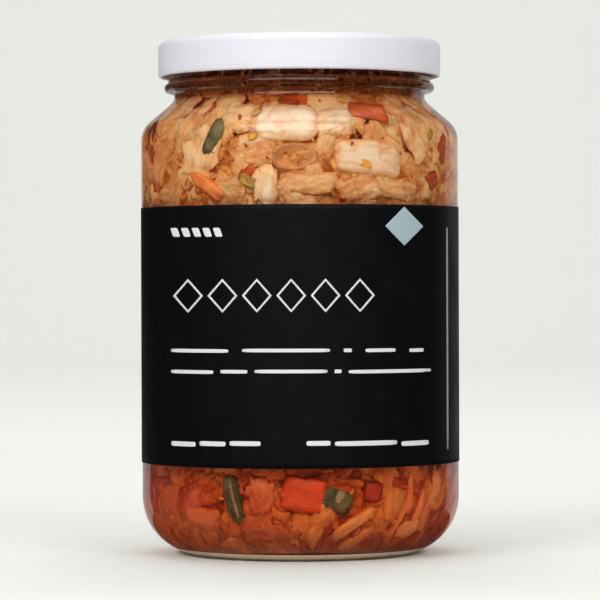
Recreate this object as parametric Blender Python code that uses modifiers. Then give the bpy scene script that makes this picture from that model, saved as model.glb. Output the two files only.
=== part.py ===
# Kimchi jar: a shut glass jar with a white metal lug lid, a wrapped black label and
# packed kimchi inside. Units are metres and +Z is up. The origin is the centre of the base,
# on the surface the jar stands on, and the front of the label faces -Y.

import math
import random

import bmesh
import bpy
from mathutils import noise, Vector

MM = 0.001
TURN_STEPS = 48
WELD = 0.000001

# Driving sizes of the glass
JAR_RADIUS = 45.0 * MM
WALL = 2.8 * MM
BODY_TOP = 117.0 * MM
SHOULDER_ARC = 7.0 * MM
SHOULDER_SLOPE = math.radians(50)
NECK_RADIUS = 35.6 * MM
NECK_BOTTOM = 128.6 * MM
NECK_TOP = 130.3 * MM
NECK_FILLET_WIDTH = 1.1 * MM
NECK_FILLET_HEIGHT = 1.3 * MM
BEAD_RADIUS = 38.4 * MM
BEAD_TOP = 133.4 * MM
BEAD_EASE = 0.3 * MM
BEAD_SPAN = math.radians(60)
FINISH_FOOT_RADIUS = 37.3 * MM
FINISH_FOOT_TOP = 135.2 * MM
FINISH_RADIUS = 36.3 * MM
MOUTH_RADIUS = 33.2 * MM
LIP_HEIGHT = 144.5 * MM
LIP_ROUND = 1.2 * MM
LIP_BEVEL = 0.7 * MM

# Heel and base of the glass
HEEL_WIDTH = 16.0 * MM
HEEL_HEIGHT = 16.5 * MM
HEEL_STOP = math.radians(80)
RING_OUTER = 31.4 * MM
RING_INNER = 29.6 * MM
RING_BEVEL_WIDTH = 1.4 * MM
RING_BEVEL_HEIGHT = 0.8 * MM
PUSH_UP = 3.0 * MM
INNER_HEEL_WIDTH = 13.2 * MM
INNER_HEEL_HEIGHT = 12.3 * MM
INNER_HEEL_FLOOR = 4.7 * MM
INNER_FLOOR_CENTRE = 6.2 * MM

# Lid
LID_RADIUS = 40.1 * MM
LID_TOP = 145.2 * MM
LID_BOTTOM = 135.0 * MM
LID_SHEET = 0.45 * MM
LID_CORNER = 2.0 * MM
LID_CURL = 0.75 * MM
LID_CURL_TURN = math.radians(225)
LID_CURL_RISE = 1.65 * MM
LID_PANEL_DROP = 0.8 * MM
LID_PANEL_RADIUS = 31.2 * MM
LID_STEP_RADIUS = 32.6 * MM
LID_STEP_OFFSET = 0.2 * MM

# Label
LABEL_BOTTOM = 26.1 * MM
LABEL_TOP = 98.0 * MM
LABEL_SHEET = 0.35 * MM
LABEL_STANDOFF = 0.3 * MM
LABEL_BACK_GAP = 8.0 * MM
LABEL_STEPS = 46

# Kimchi
PACK_GAP = 0.45 * MM
PACK_FLOOR = 5.6 * MM
CORE_DEPTH = 2.8 * MM
CORE_STEPS = 32
CORE_TOP = 131.4 * MM
CORE_DOME = 3.0 * MM
CORE_NECK_RADIUS = 28.0 * MM
CORE_SLOPE_RADIUS = 30.6 * MM
CORE_SLOPE_HEIGHT = 123.6 * MM
CORE_HEEL_WIDTH = 11.2 * MM
CORE_HEEL_HEIGHT = 11.6 * MM
CORE_FLOOR_GAP = 1.0 * MM
CORE_BUMP = 0.6 * MM
CORE_BUMPS_PER_METRE = 140.0
PIECE_ROOT = 0.8
PIECE_ROUNDING = 0.16
PIECE_RAGGED = 0.06
PIECE_EDGE_DROP = 0.3

# Kinds of vegetable: crown, wave height and wave length (mm), and grid cells
KINDS = {
    "rib": (1.5, 0.0, 20.0, (2, 3)),
    "leaf": (0.3, 0.6, 8.0, (4, 2)),
    "chunk": (1.1, 0.2, 9.0, (2, 2)),
    "stalk": (1.6, 0.0, 9.0, (2, 3)),
    "strip": (0.7, 0.0, 9.0, (3, 1)),
    "pepper": (0.5, 0.2, 9.0, (2, 1)),
    "curl": (-1.6, 0.0, 9.0, (4, 4)),
}

# What shows at the front, upper window: kind, degrees from the front, height, length,
# width (mm), turn (degrees) and how far behind the wall it lies (mm)
UPPER_FRONT = [
    ("rib", -5, 119.6, 17.5, 9.6, 0, 0.0),
    ("rib", 14, 119.8, 11.5, 8.0, 4, 0.6),
    ("rib", 27, 110.6, 21.0, 10.0, -5, 0.0),
    ("pepper", 29, 122.4, 12.5, 5.0, -6, 0.3),
    ("curl", -2, 111.0, 14.0, 8.0, 0, 0.1),
    ("stalk", -34, 115.8, 11.0, 5.6, 62, 0.0),
    ("leaf", -41, 110.5, 15.0, 12.5, 70, 0.6),
    ("leaf", -48, 119.6, 13.0, 8.5, 30, 0.9),
    ("chunk", -25, 121.6, 11.0, 7.5, -8, 0.5),
    ("chunk", -16, 111.6, 10.5, 7.5, 12, 0.7),
    ("pepper", -20, 105.2, 5.5, 3.6, -30, 0.3),
    ("leaf", -13, 103.0, 9.5, 7.0, 88, 0.4),
    ("strip", -37, 103.4, 13.5, 4.4, -32, 0.2),
    ("chunk", 4, 103.6, 15.5, 6.0, 0, 0.5),
    ("leaf", 50, 116.5, 17.0, 9.5, -55, 0.5),
    ("pepper", 67, 114.0, 8.5, 5.0, 80, 0.3),
    ("pepper", 59, 105.0, 6.0, 5.0, 20, 0.3),
    ("chunk", 40, 102.4, 15.0, 6.5, -8, 0.6),
    ("chunk", -64, 110.0, 12.0, 8.0, 60, 0.6),
    ("chunk", -58, 101.0, 10.0, 6.5, 10, 0.7),
]

# What shows at the front, lower window
LOWER_FRONT = [
    ("stalk", -26, 17.6, 13.5, 5.2, -76, 0.1),
    ("pepper", 1, 19.0, 12.5, 9.5, -8, 0.1),
    ("chunk", 13, 17.6, 10.5, 8.0, -10, 0.3),
    ("chunk", -41, 12.6, 12.5, 5.4, -6, 0.3),
    ("rib", 21, 11.4, 14.0, 3.8, 30, 0.2),
    ("rib", 24, 7.8, 13.0, 3.6, 30, 0.5),
    ("pepper", 28, 19.4, 6.0, 6.0, 80, 0.4),
    ("chunk", 37, 17.0, 10.0, 7.0, -78, 0.5),
    ("pepper", 40, 21.6, 6.0, 3.4, -8, 0.2),
    ("leaf", -15, 19.0, 9.5, 8.0, 80, 0.6),
    ("chunk", 6, 9.0, 6.0, 4.4, 50, 0.4),
    ("chunk", 55, 17.0, 10.0, 6.0, 60, 0.5),
    ("chunk", -58, 17.0, 9.0, 7.0, 70, 0.6),
    ("leaf", -14, 9.6, 13.0, 6.0, -6, 0.6),
]

# The rest of the way round, by rule: rows of height, count and width (mm)
RULE_SEED = 5
RULE_ROWS = [
    (119.8, 10, 11.0),
    (110.8, 10, 11.0),
    (102.4, 10, 9.0),
    (19.6, 10, 9.8),
    (11.2, 9, 8.6),
]
RULE_KINDS = ["rib", "chunk", "leaf", "rib", "chunk", "strip", "leaf", "pepper", "chunk", "stalk"]
RULE_START = 76.0
RULE_SWEEP = 208.0
RULE_SLIM = {"strip": 0.6, "stalk": 0.6, "pepper": 0.75}
NECK_ROW_COUNT = 7
NECK_ROW_HEIGHT = 129.2
NECK_PIECE_WIDTH = 4.5
NECK_PIECE_DEPTH = 1.6
SEAM_COUNT = 5
SEAM_START = 36.0
SEAM_STEP = 14.0
SEAM_PIECE = (12.0, 8.0)
SEAM_DEPTH = 0.4


def clear_scene():
    for item in list(bpy.data.objects):
        bpy.data.objects.remove(item, do_unlink=True)


def new_collection(name):
    collection = bpy.data.collections.new(name)
    bpy.context.scene.collection.children.link(collection)
    return collection


def make_material(name, colour, roughness, metallic=0.0, transmission=0.0):
    material = bpy.data.materials.new(name)
    material.use_nodes = True
    shader = material.node_tree.nodes["Principled BSDF"]
    shader.inputs["Base Color"].default_value = (*colour, 1.0)
    shader.inputs["Roughness"].default_value = roughness
    shader.inputs["Metallic"].default_value = metallic
    shader.inputs["Transmission Weight"].default_value = transmission
    return material


def arc(centre, half_width, half_height, start, stop, steps):
    # Points of an ellipse round centre, with angles counted from +X towards +Z
    points = []
    for index in range(steps + 1):
        angle = start + (stop - start) * index / steps
        x = centre[0] + half_width * math.cos(angle)
        z = centre[1] + half_height * math.sin(angle)
        points.append((x, z))
    return points


def turned(name, profile, collection, steps=TURN_STEPS, angle=2 * math.pi):
    # A profile in the XZ plane, carried round the Z axis
    mesh = bpy.data.meshes.new(name)
    edges = [(index, index + 1) for index in range(len(profile) - 1)]
    mesh.from_pydata([(x, 0.0, z) for x, z in profile], edges, [])
    item = bpy.data.objects.new(name, mesh)
    collection.objects.link(item)
    screw = item.modifiers.new("Turn", "SCREW")
    screw.axis = "Z"
    screw.angle = angle
    screw.steps = steps
    screw.render_steps = steps
    screw.use_merge_vertices = angle >= 2 * math.pi
    screw.merge_threshold = WELD
    return item


def freeze(item):
    # Replace the mesh by what the modifiers make of it
    graph = bpy.context.evaluated_depsgraph_get()
    mesh = bpy.data.meshes.new_from_object(item.evaluated_get(graph))
    old = item.data
    item.modifiers.clear()
    item.data = mesh
    mesh.name = item.name
    bpy.data.meshes.remove(old)


def finish(item, material, sharp_degrees=35):
    item.data.materials.clear()
    item.data.materials.append(material)
    item.data.shade_smooth()
    item.data.set_sharp_from_angle(angle=math.radians(sharp_degrees))


def shoulder(radius, arc_radius, neck, neck_height):
    # From the top of the body over the arc, then straight up the slope to the neck
    centre = (radius - arc_radius, BODY_TOP)
    curve = arc(centre, arc_radius, arc_radius, 0.0, SHOULDER_SLOPE, 3)
    return curve + [(neck, neck_height)]


def inner_wall():
    # The inside of the glass, from the centre of the floor up to the mouth
    radius = JAR_RADIUS - WALL
    heel_centre = (radius - INNER_HEEL_WIDTH, INNER_HEEL_FLOOR + INNER_HEEL_HEIGHT)
    heel = arc(heel_centre, INNER_HEEL_WIDTH, INNER_HEEL_HEIGHT, -math.pi / 2, 0.0, 5)
    curve = shoulder(radius, SHOULDER_ARC - WALL / 2, MOUTH_RADIUS, NECK_BOTTOM)
    return [(0.0, INNER_FLOOR_CENTRE)] + heel + curve


def outer_wall():
    # The outside of the glass, from the lip down to the middle of the push-up
    lip_centre = (FINISH_RADIUS - LIP_ROUND, LIP_HEIGHT - LIP_ROUND)
    lip = arc(lip_centre, LIP_ROUND, LIP_ROUND, math.pi / 2, 0.0, 2)
    foot = [(FINISH_FOOT_RADIUS, FINISH_FOOT_TOP), (FINISH_FOOT_RADIUS, BEAD_TOP)]
    foot = [(FINISH_RADIUS, FINISH_FOOT_TOP + FINISH_FOOT_RADIUS - FINISH_RADIUS)] + foot
    bead_centre = (FINISH_FOOT_RADIUS, (BEAD_TOP + NECK_TOP + BEAD_EASE) / 2)
    bead_height = (BEAD_TOP - NECK_TOP) / 2 - BEAD_EASE
    bead_width = BEAD_RADIUS - FINISH_FOOT_RADIUS
    bead = arc(bead_centre, bead_width, bead_height, BEAD_SPAN, -BEAD_SPAN, 3)
    neck = [(NECK_RADIUS, NECK_TOP), (NECK_RADIUS, NECK_BOTTOM)]
    slope_foot = (NECK_RADIUS + NECK_FILLET_WIDTH, NECK_BOTTOM - NECK_FILLET_HEIGHT)
    body = shoulder(JAR_RADIUS, SHOULDER_ARC, *slope_foot)
    heel_centre = (JAR_RADIUS - HEEL_WIDTH, HEEL_HEIGHT)
    heel = arc(heel_centre, HEEL_WIDTH, HEEL_HEIGHT, 0.0, -HEEL_STOP, 6)
    ring = [(RING_OUTER, 0.0), (RING_INNER, 0.0)]
    push_up = [(RING_INNER - RING_BEVEL_WIDTH, RING_BEVEL_HEIGHT), (0.0, PUSH_UP)]
    return lip + foot + bead + neck + body[::-1] + heel + ring + push_up


def make_glass(collection):
    rim = [(MOUTH_RADIUS, LIP_HEIGHT - LIP_BEVEL), (MOUTH_RADIUS + LIP_BEVEL, LIP_HEIGHT)]
    glass = turned("jar_glass", inner_wall() + rim + outer_wall(), collection)
    freeze(glass)
    finish(glass, make_material("clear_glass", (0.95, 0.97, 0.96), 0.03, transmission=1.0))


def make_lid(collection):
    # A pressed cup: a dropped panel, a raised rim, a rounded corner, the skirt and its curl
    corner = (LID_RADIUS - LID_CORNER, LID_TOP - LID_CORNER)
    inner_round = LID_CORNER - LID_SHEET
    curl = (LID_RADIUS - LID_CURL, LID_BOTTOM + LID_CURL)
    panel_top = LID_TOP - LID_PANEL_DROP
    profile = [(0.0, panel_top), (LID_PANEL_RADIUS, panel_top), (LID_STEP_RADIUS, LID_TOP)]
    profile += arc(corner, LID_CORNER, LID_CORNER, math.pi / 2, 0.0, 3)
    profile += arc(curl, LID_CURL, LID_CURL, 0.0, -LID_CURL_TURN, 4)
    profile += [(LID_RADIUS - LID_SHEET, LID_BOTTOM + LID_CURL_RISE)]
    profile += arc(corner, inner_round, inner_round, 0.0, math.pi / 2, 2)
    profile += [(LID_STEP_RADIUS + LID_STEP_OFFSET, LID_TOP - LID_SHEET)]
    profile += [(LID_PANEL_RADIUS + LID_STEP_OFFSET, panel_top - LID_SHEET)]
    profile += [(0.0, panel_top - LID_SHEET)]
    lid = turned("lid", profile, collection)
    freeze(lid)
    finish(lid, make_material("white_enamel", (0.89, 0.88, 0.91), 0.35))


def make_label(collection):
    # One wrapped sheet, open at the back over a narrow gap
    radius = JAR_RADIUS + LABEL_STANDOFF
    gap = LABEL_BACK_GAP / radius
    profile = [(radius, LABEL_TOP), (radius, LABEL_BOTTOM)]
    label = turned("label", profile, collection, LABEL_STEPS, 2 * math.pi - gap)
    label.rotation_euler = (0.0, 0.0, math.pi / 2 + gap / 2)
    sheet = label.modifiers.new("Sheet", "SOLIDIFY")
    sheet.thickness = LABEL_SHEET
    sheet.offset = 1.0
    freeze(label)
    finish(label, make_material("black_label", (0.008, 0.008, 0.01), 0.5))


def wall_radius(height):
    # How far out the pieces may reach at a height: the inner wall less the packing gap
    points = [point for point in inner_wall() if point[0] > 0.0]
    if height <= points[0][1]:
        return points[0][0] - PACK_GAP
    for (low_r, low_z), (high_r, high_z) in zip(points, points[1:]):
        if low_z < height <= high_z:
            share = (height - low_z) / (high_z - low_z)
            return low_r + (high_r - low_r) * share - PACK_GAP
    return MOUTH_RADIUS - PACK_GAP


def make_core(collection):
    # The packed mass between the pieces, a little behind the wall, with an uneven surface
    radius = JAR_RADIUS - WALL - CORE_DEPTH
    dome = arc((0.0, CORE_TOP - CORE_DOME), CORE_NECK_RADIUS, CORE_DOME, math.pi / 2, 0.0, 2)
    slope = [(CORE_SLOPE_RADIUS, CORE_SLOPE_HEIGHT), (radius, BODY_TOP - CORE_DEPTH)]
    body = [(radius, LABEL_TOP), (radius, (LABEL_TOP + LABEL_BOTTOM) / 2)]
    heel_centre = (radius - CORE_HEEL_WIDTH, INNER_HEEL_FLOOR + INNER_HEEL_HEIGHT)
    heel = arc(heel_centre, CORE_HEEL_WIDTH, CORE_HEEL_HEIGHT, 0.0, -math.pi / 2, 4)
    floor = [(0.0, INNER_FLOOR_CENTRE + CORE_FLOOR_GAP)]
    core = turned("kimchi", dome + slope + body + heel + floor, collection, CORE_STEPS)
    freeze(core)
    for vertex in core.data.vertices:
        outward = Vector((vertex.co.x, vertex.co.y, 0.0)).normalized()
        bump = CORE_BUMP * noise.noise(vertex.co * CORE_BUMPS_PER_METRE)
        vertex.co += outward * bump
    return core


def piece_height(kind, across, along):
    # Height of a piece's outer face below its highest line, with both places from -1 to 1
    crown, wave, wave_length, cells = KINDS[kind]
    edge = max(abs(across) ** 4, abs(along) ** 4)
    if kind == "curl":
        ring = min(math.hypot(across, along), 1.0)
        return crown * (1.0 - ring) - PIECE_EDGE_DROP * edge
    return -crown * (across ** 2 + 0.4 * along ** 2) - PIECE_EDGE_DROP * edge


def make_piece(number, row, collection):
    # A patch of the kind's grid, bent round the jar behind the wall and rooted in the core
    kind, degrees, height, length, width, turn, depth = row
    crown, wave, wave_length, cells = KINDS[kind]
    shape = bmesh.new()
    bmesh.ops.create_grid(shape, x_segments=cells[0], y_segments=cells[1], size=1.0)
    lower = shape.verts[:]
    grown = bmesh.ops.extrude_face_region(shape, geom=shape.faces[:], use_keep_orig=True)
    upper = {item for item in grown["geom"] if isinstance(item, bmesh.types.BMVert)}
    angle = math.radians(turn)
    phase = random.Random(number).uniform(0.0, 2 * math.pi)
    for vertex in lower + list(upper):
        along, across = vertex.co.x, vertex.co.y
        round_off = 1.0 - PIECE_ROUNDING * (along * across) ** 2
        ragged = 1.0 + PIECE_RAGGED * noise.noise(Vector((along, across, number)) * 1.7)
        u = along * length / 2 * round_off * ragged
        v = across * width / 2 * round_off * ragged
        sideways = (u * math.cos(angle) - v * math.sin(angle)) * MM
        z = max((height + u * math.sin(angle) + v * math.cos(angle)) * MM, PACK_FLOOR)
        outward = piece_height(kind, across, along) - depth
        ruffle = math.sin(phase + 2 * math.pi * u / wave_length)
        outward += wave * (ruffle * (0.6 + 0.4 * across) - 1.0)
        radius = wall_radius(z) + outward * MM
        if vertex not in upper:
            radius *= PIECE_ROOT
        turned_by = math.radians(degrees) + sideways / (JAR_RADIUS - WALL)
        vertex.co = (radius * math.sin(turned_by), -radius * math.cos(turned_by), z)
    bmesh.ops.recalc_face_normals(shape, faces=shape.faces[:])
    mesh = bpy.data.meshes.new(f"piece_{number}")
    shape.to_mesh(mesh)
    shape.free()
    collection.objects.link(bpy.data.objects.new(mesh.name, mesh))


def rule_pieces():
    # Seeded rows round the sides and back, in the neck, and down the gap of the label
    draw = random.Random(RULE_SEED)
    rows = []
    for height, count, width in RULE_ROWS:
        for index in range(count):
            kind = RULE_KINDS[draw.randrange(len(RULE_KINDS))]
            degrees = RULE_START + RULE_SWEEP * (index + 0.5) / count + draw.uniform(-4, 4)
            size = width * draw.uniform(0.75, 1.0)
            stretch = draw.uniform(1.3, 1.7)
            z = height + draw.uniform(-1.2, 1.2)
            turn = draw.choice((-1, 1)) * draw.uniform(0, 35)
            depth = draw.uniform(0.1, 0.9)
            size *= RULE_SLIM.get(kind, 1.0)
            rows.append((kind, degrees, z, size * stretch, size, turn, depth))
    for index in range(NECK_ROW_COUNT):
        degrees = 360 * index / NECK_ROW_COUNT + draw.uniform(-10, 10)
        z = NECK_ROW_HEIGHT + draw.uniform(-0.8, 0.8)
        length = draw.uniform(9, 13)
        turn = draw.uniform(-15, 15)
        rows.append(("chunk", degrees, z, length, NECK_PIECE_WIDTH, turn, NECK_PIECE_DEPTH))
    for index in range(SEAM_COUNT):
        kind = RULE_KINDS[draw.randrange(4)]
        degrees = 180 + draw.uniform(-3, 3)
        z = SEAM_START + SEAM_STEP * index
        rows.append((kind, degrees, z, *SEAM_PIECE, draw.uniform(-30, 30), SEAM_DEPTH))
    return rows


def make_kimchi(collection):
    core = make_core(collection)
    pieces = new_collection("kimchi pieces")
    for number, row in enumerate(UPPER_FRONT + LOWER_FRONT + rule_pieces()):
        make_piece(number, row, pieces)
    union = core.modifiers.new("Join", "BOOLEAN")
    union.operation = "UNION"
    union.operand_type = "COLLECTION"
    union.collection = pieces
    union.solver = "EXACT"
    freeze(core)
    for item in list(pieces.objects):
        bpy.data.objects.remove(item, do_unlink=True)
    bpy.data.collections.remove(pieces)
    finish(core, make_material("kimchi", (0.55, 0.22, 0.09), 0.4))


def main():
    clear_scene()
    jar = new_collection("kimchi jar")
    make_glass(jar)
    make_lid(jar)
    make_label(jar)
    make_kimchi(jar)


main()
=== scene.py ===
# Kimchi jar: the looks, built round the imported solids. Lengths are metres unless a name says mm.
import math
import random

import bpy
import numpy as np
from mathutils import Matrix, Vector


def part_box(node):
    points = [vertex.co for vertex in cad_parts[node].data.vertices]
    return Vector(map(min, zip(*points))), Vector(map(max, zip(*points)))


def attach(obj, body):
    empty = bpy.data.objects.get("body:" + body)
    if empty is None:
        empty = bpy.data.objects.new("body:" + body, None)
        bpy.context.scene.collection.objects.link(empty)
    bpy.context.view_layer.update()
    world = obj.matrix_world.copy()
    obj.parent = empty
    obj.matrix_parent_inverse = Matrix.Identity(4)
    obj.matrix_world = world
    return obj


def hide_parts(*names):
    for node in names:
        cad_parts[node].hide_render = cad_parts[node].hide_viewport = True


print("loading the packed jar")
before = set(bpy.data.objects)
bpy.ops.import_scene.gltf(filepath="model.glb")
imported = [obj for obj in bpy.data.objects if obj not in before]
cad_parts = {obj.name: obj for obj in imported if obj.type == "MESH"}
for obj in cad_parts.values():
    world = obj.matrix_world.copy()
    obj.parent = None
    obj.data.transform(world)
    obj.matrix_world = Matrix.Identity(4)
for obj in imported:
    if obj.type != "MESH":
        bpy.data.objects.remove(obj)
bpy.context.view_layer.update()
mm = 0.001
glassLow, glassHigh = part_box("jar_glass")
lidLow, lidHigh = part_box("lid")
labelLow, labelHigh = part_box("label")
jarRadius = (glassHigh.x - glassLow.x) / 2


# numbers and fields shared by the pieces

def srgb(red, green, blue):
    # display colour from 0 to 255, made linear
    parts = np.array((red, green, blue)) / 255
    return tuple(np.where(parts <= 0.04045, parts / 12.92, ((parts + 0.055) / 1.055) ** 2.4))


def smoothStep(low, high, x):
    # 0 below low, 1 above high, and a cubic ease between
    t = np.clip((x - low) / (high - low), 0, 1)
    return t * t * (3 - 2 * t)


def latticeValue(ix, iy, iz, seed):
    # a fixed pseudo random number from 0 to 1 for each lattice corner
    mixed = (ix * 374761393 + iy * 668265263 + iz * 1440662683 + seed * 1013904223) & 0xFFFFFFFF
    mixed = ((mixed ^ (mixed >> 13)) * 1274126177) & 0xFFFFFFFF
    return ((mixed ^ (mixed >> 16)) & 0xFFFF) / 65535


def lumps(places, size, seed, layers=3):
    # value noise: corner values of a lattice blended by a cubic ease, halved and doubled per layer
    total = np.zeros(places.shape[:-1])
    weight = 1.0
    for layer in range(layers):
        spot = places / size * 2.0 ** layer + 17.3 * (layer + 1)
        cell = np.floor(spot).astype(np.int64)
        part = spot - cell
        part = part * part * (3 - 2 * part)
        value = 0
        for corner in range(8):
            dx, dy, dz = corner & 1, corner >> 1 & 1, corner >> 2
            share = np.where(dx, part[..., 0], 1 - part[..., 0])
            share = share * np.where(dy, part[..., 1], 1 - part[..., 1])
            share = share * np.where(dz, part[..., 2], 1 - part[..., 2])
            value = value + share * latticeValue(
                cell[..., 0] + dx, cell[..., 1] + dy, cell[..., 2] + dz, seed + layer)
        total += weight * (2 * value - 1)
        weight /= 2
    return total


def roundJar(radius, turn, height):
    # turn in radians from the front (-Y) towards +X
    return np.stack([radius * np.sin(turn), -radius * np.cos(turn), height], -1)


def twoLayers(outer, inner):
    # two grids of points as one list, the outer grid first
    return np.concatenate([outer.reshape(-1, 3), inner.reshape(-1, 3)])


def arcPoints(centre, reach, start, stop, count):
    # points of an ellipse round centre, reach out and up, angles in degrees from +X to +Z
    angle = np.radians(np.linspace(start, stop, count))
    return np.stack([centre[0] + reach[0] * np.cos(angle), centre[1] + reach[1] * np.sin(angle)], 1)


def roundedPath(corners, radii, count=6):
    # an outline whose corners are eased by quadratic curves that start radii away from them
    corners = np.array(corners, float)
    path = [corners[:1]]
    for before, corner, after, reach in zip(corners, corners[1:], corners[2:], radii):
        toBefore = (before - corner) / np.linalg.norm(before - corner)
        toAfter = (after - corner) / np.linalg.norm(after - corner)
        t = np.linspace(0, 1, count)[:, None]
        start, stop = corner + toBefore * reach, corner + toAfter * reach
        path.append((1 - t) ** 2 * start + 2 * t * (1 - t) * corner + t ** 2 * stop)
    path.append(corners[-1:])
    return np.concatenate(path)


# meshes

def putMesh(name, points, faces, material, uv=None, values=None):
    # points (n, 3), faces a list of arrays with 3 or 4 corners each, uv and values per point
    mesh = bpy.data.meshes.new(name)
    points = np.ascontiguousarray(points, np.float32)
    mesh.vertices.add(len(points))
    mesh.vertices.foreach_set("co", points.ravel())
    corners = np.concatenate([f.ravel() for f in faces]).astype(np.int32)
    sizes = np.concatenate([np.full(len(f), f.shape[1]) for f in faces]).astype(np.int32)
    starts = (np.cumsum(sizes) - sizes).astype(np.int32)
    mesh.loops.add(len(corners))
    mesh.loops.foreach_set("vertex_index", corners)
    mesh.polygons.add(len(sizes))
    mesh.polygons.foreach_set("loop_start", starts)
    mesh.polygons.foreach_set("loop_total", sizes)
    mesh.update(calc_edges=True)
    mesh.shade_smooth()
    if uv is not None:
        layer = mesh.uv_layers.new(name="UVMap")
        layer.data.foreach_set("uv", np.ascontiguousarray(uv[corners], np.float32).ravel())
    for key, numbers in (values or {}).items():
        marked = mesh.attributes.new(key, "FLOAT", "POINT")
        marked.data.foreach_set("value", np.ascontiguousarray(numbers, np.float32).ravel())
    mesh.materials.append(material)
    piece = bpy.data.objects.new(name, mesh)
    bpy.context.scene.collection.objects.link(piece)
    return piece


def quads(*corners):
    # faces from four arrays of corner numbers
    return np.stack(corners, -1).reshape(-1, 4)


def spinFaces(rows, steps, startPole, stopPole):
    # faces between rings of steps points, and fans to the poles, outward for a profile that
    # runs down its outer side
    ring = np.arange(steps)
    after = (ring + 1) % steps
    first = 1 if startPole else 0
    row = first + np.arange(rows - 1)[:, None] * steps
    faces = [quads(row + ring, row + steps + ring, row + steps + after, row + after)]
    last = first + (rows - 1) * steps
    if startPole:
        faces.append(np.stack([np.zeros(steps, int), first + ring, first + after], 1))
    if stopPole:
        faces.append(np.stack([last + ring, np.full(steps, last + steps), last + after], 1))
    return faces


def spinProfile(profile, steps, shift=None):
    # turns (radius, height) points round Z: x = r cos a, y = r sin a. shift(r, z, a) may move
    # them. Points at radius 0 become poles.
    startPole, stopPole = profile[0, 0] < 1e-7, profile[-1, 0] < 1e-7
    body = profile[int(startPole):len(profile) - int(stopPole)]
    angle = np.arange(steps) * 2 * np.pi / steps
    radius = np.repeat(body[:, :1], steps, 1)
    height = np.repeat(body[:, 1:], steps, 1)
    if shift is not None:
        radius, height = shift(radius, height, np.broadcast_to(angle, radius.shape))
    points = np.stack([radius * np.cos(angle), radius * np.sin(angle), height], -1).reshape(-1, 3)
    if startPole:
        points = np.concatenate([[[0, 0, profile[0, 1]]], points])
    if stopPole:
        points = np.concatenate([points, [[0, 0, profile[-1, 1]]]])
    return points, spinFaces(len(body), steps, startPole, stopPole)


def slabFaces(columns, rows):
    # a closed slab of two grids, top first, joined round the border
    grid = np.arange(columns * rows).reshape(columns, rows)
    a, b, c, d = grid[:-1, :-1], grid[1:, :-1], grid[1:, 1:], grid[:-1, 1:]
    top = quads(a, b, c, d)
    under = columns * rows
    rim = np.concatenate([grid[:-1, 0], grid[-1, :-1], grid[:0:-1, -1], grid[0, :0:-1]])
    onward = np.roll(rim, -1)
    return np.concatenate([top, top[:, ::-1] + under,
                           quads(rim, rim + under, onward + under, onward)])


# materials

def fill(tree, made, inputs):
    # links the sockets and sets the plain values
    for key, value in inputs.items():
        if isinstance(value, bpy.types.NodeSocket):
            tree.links.new(value, made.inputs[key])
        else:
            made.inputs[key].default_value = value
    return made


def node(tree, kind, inputs=None, **settings):
    # a new shader node with its settings and inputs
    made = tree.nodes.new("ShaderNode" + kind)
    for key, value in settings.items():
        setattr(made, key, value)
    return fill(tree, made, inputs or {})


def newFinish(name):
    # a material, its tree and shader, and the piece's own coordinates
    material = bpy.data.materials.new(name)
    material.use_nodes = True
    tree = material.node_tree
    return material, tree, tree.nodes["Principled BSDF"], node(tree, "TexCoord").outputs["Object"]


def blendColours(tree, share, first, second, mode="MIX"):
    # a colour mix; first and second are sockets or linear colours
    first, second = ((*colour, 1) if isinstance(colour, tuple) else colour
                     for colour in (first, second))
    return node(tree, "Mix", {0: share, 6: first, 7: second}, data_type="RGBA",
                blend_type=mode, clamp_factor=True).outputs[2]


def darker(colour, share):
    # share times each part of a linear colour
    return tuple(share * part for part in colour)


def relief(tree, shader, strength, distance, height):
    # bumps from a height, over the whole piece
    fill(tree, shader, {"Normal": node(tree, "Bump", {
        "Strength": strength, "Distance": distance, "Height": height}).outputs[0]})


def spread(tree, source, low, high, toLow=0.0, toHigh=1.0):
    # remaps a value and keeps it inside its new ends
    return node(tree, "MapRange", {0: source, 1: low, 2: high, 3: toLow, 4: toHigh}).outputs[0]


def own(tree, key):
    # a value that each point of the mesh carries
    return node(tree, "Attribute", attribute_name=key).outputs["Fac"]


def grain(tree, where, scale, detail=3.0, rough=0.55, stretch=(1, 1, 1), warp=0.0):
    # noise in the piece's own coordinates, from about 0.3 to 0.7
    mapping = node(tree, "Mapping", {"Vector": where, "Scale": stretch})
    return node(tree, "TexNoise", {"Vector": mapping.outputs[0], "Scale": scale, "Detail": detail,
                                   "Roughness": rough, "Distortion": warp}).outputs["Fac"]


def multiply(tree, first, second):
    # first times second, kept from 0 to 1
    return node(tree, "Math", {0: first, 1: second}, operation="MULTIPLY", use_clamp=True).outputs[0]


def add(tree, first, second):
    # first plus second, kept from 0 to 1
    return node(tree, "Math", {0: first, 1: second}, operation="ADD", use_clamp=True).outputs[0]


def either(tree, first, second):
    # the larger of two values
    return node(tree, "Math", {0: first, 1: second}, operation="MAXIMUM").outputs[0]


def letLampsThrough(tree, surface):
    # lamps and soft light pass straight through, so that what is inside is lit
    path = node(tree, "LightPath").outputs
    through = either(tree, path["Is Shadow Ray"], path["Is Diffuse Ray"])
    mixed = node(tree, "MixShader", {0: through, 1: surface,
                                     2: node(tree, "BsdfTransparent").outputs[0]})
    fill(tree, tree.nodes["Material Output"], {"Surface": mixed.outputs[0]})


# the vegetables' finish: pale flesh, deeper towards the edges, redder low in the jar

soakLook = {
    "orange": (0.89, 0.38, 0.135),    # what the brine low in the jar leaves of a colour
    "crimson": (0.62, 0.12, 0.06),
    # painted shade: the next colour is multiplied into colours where the lid shades the neck
    "neckPaintedShade": (0.46, 0.31, 0.20),  # what is left of a colour where the lid shades it
    "redFrom": 74 * mm,
    "redTo": 24 * mm,
}


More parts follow.
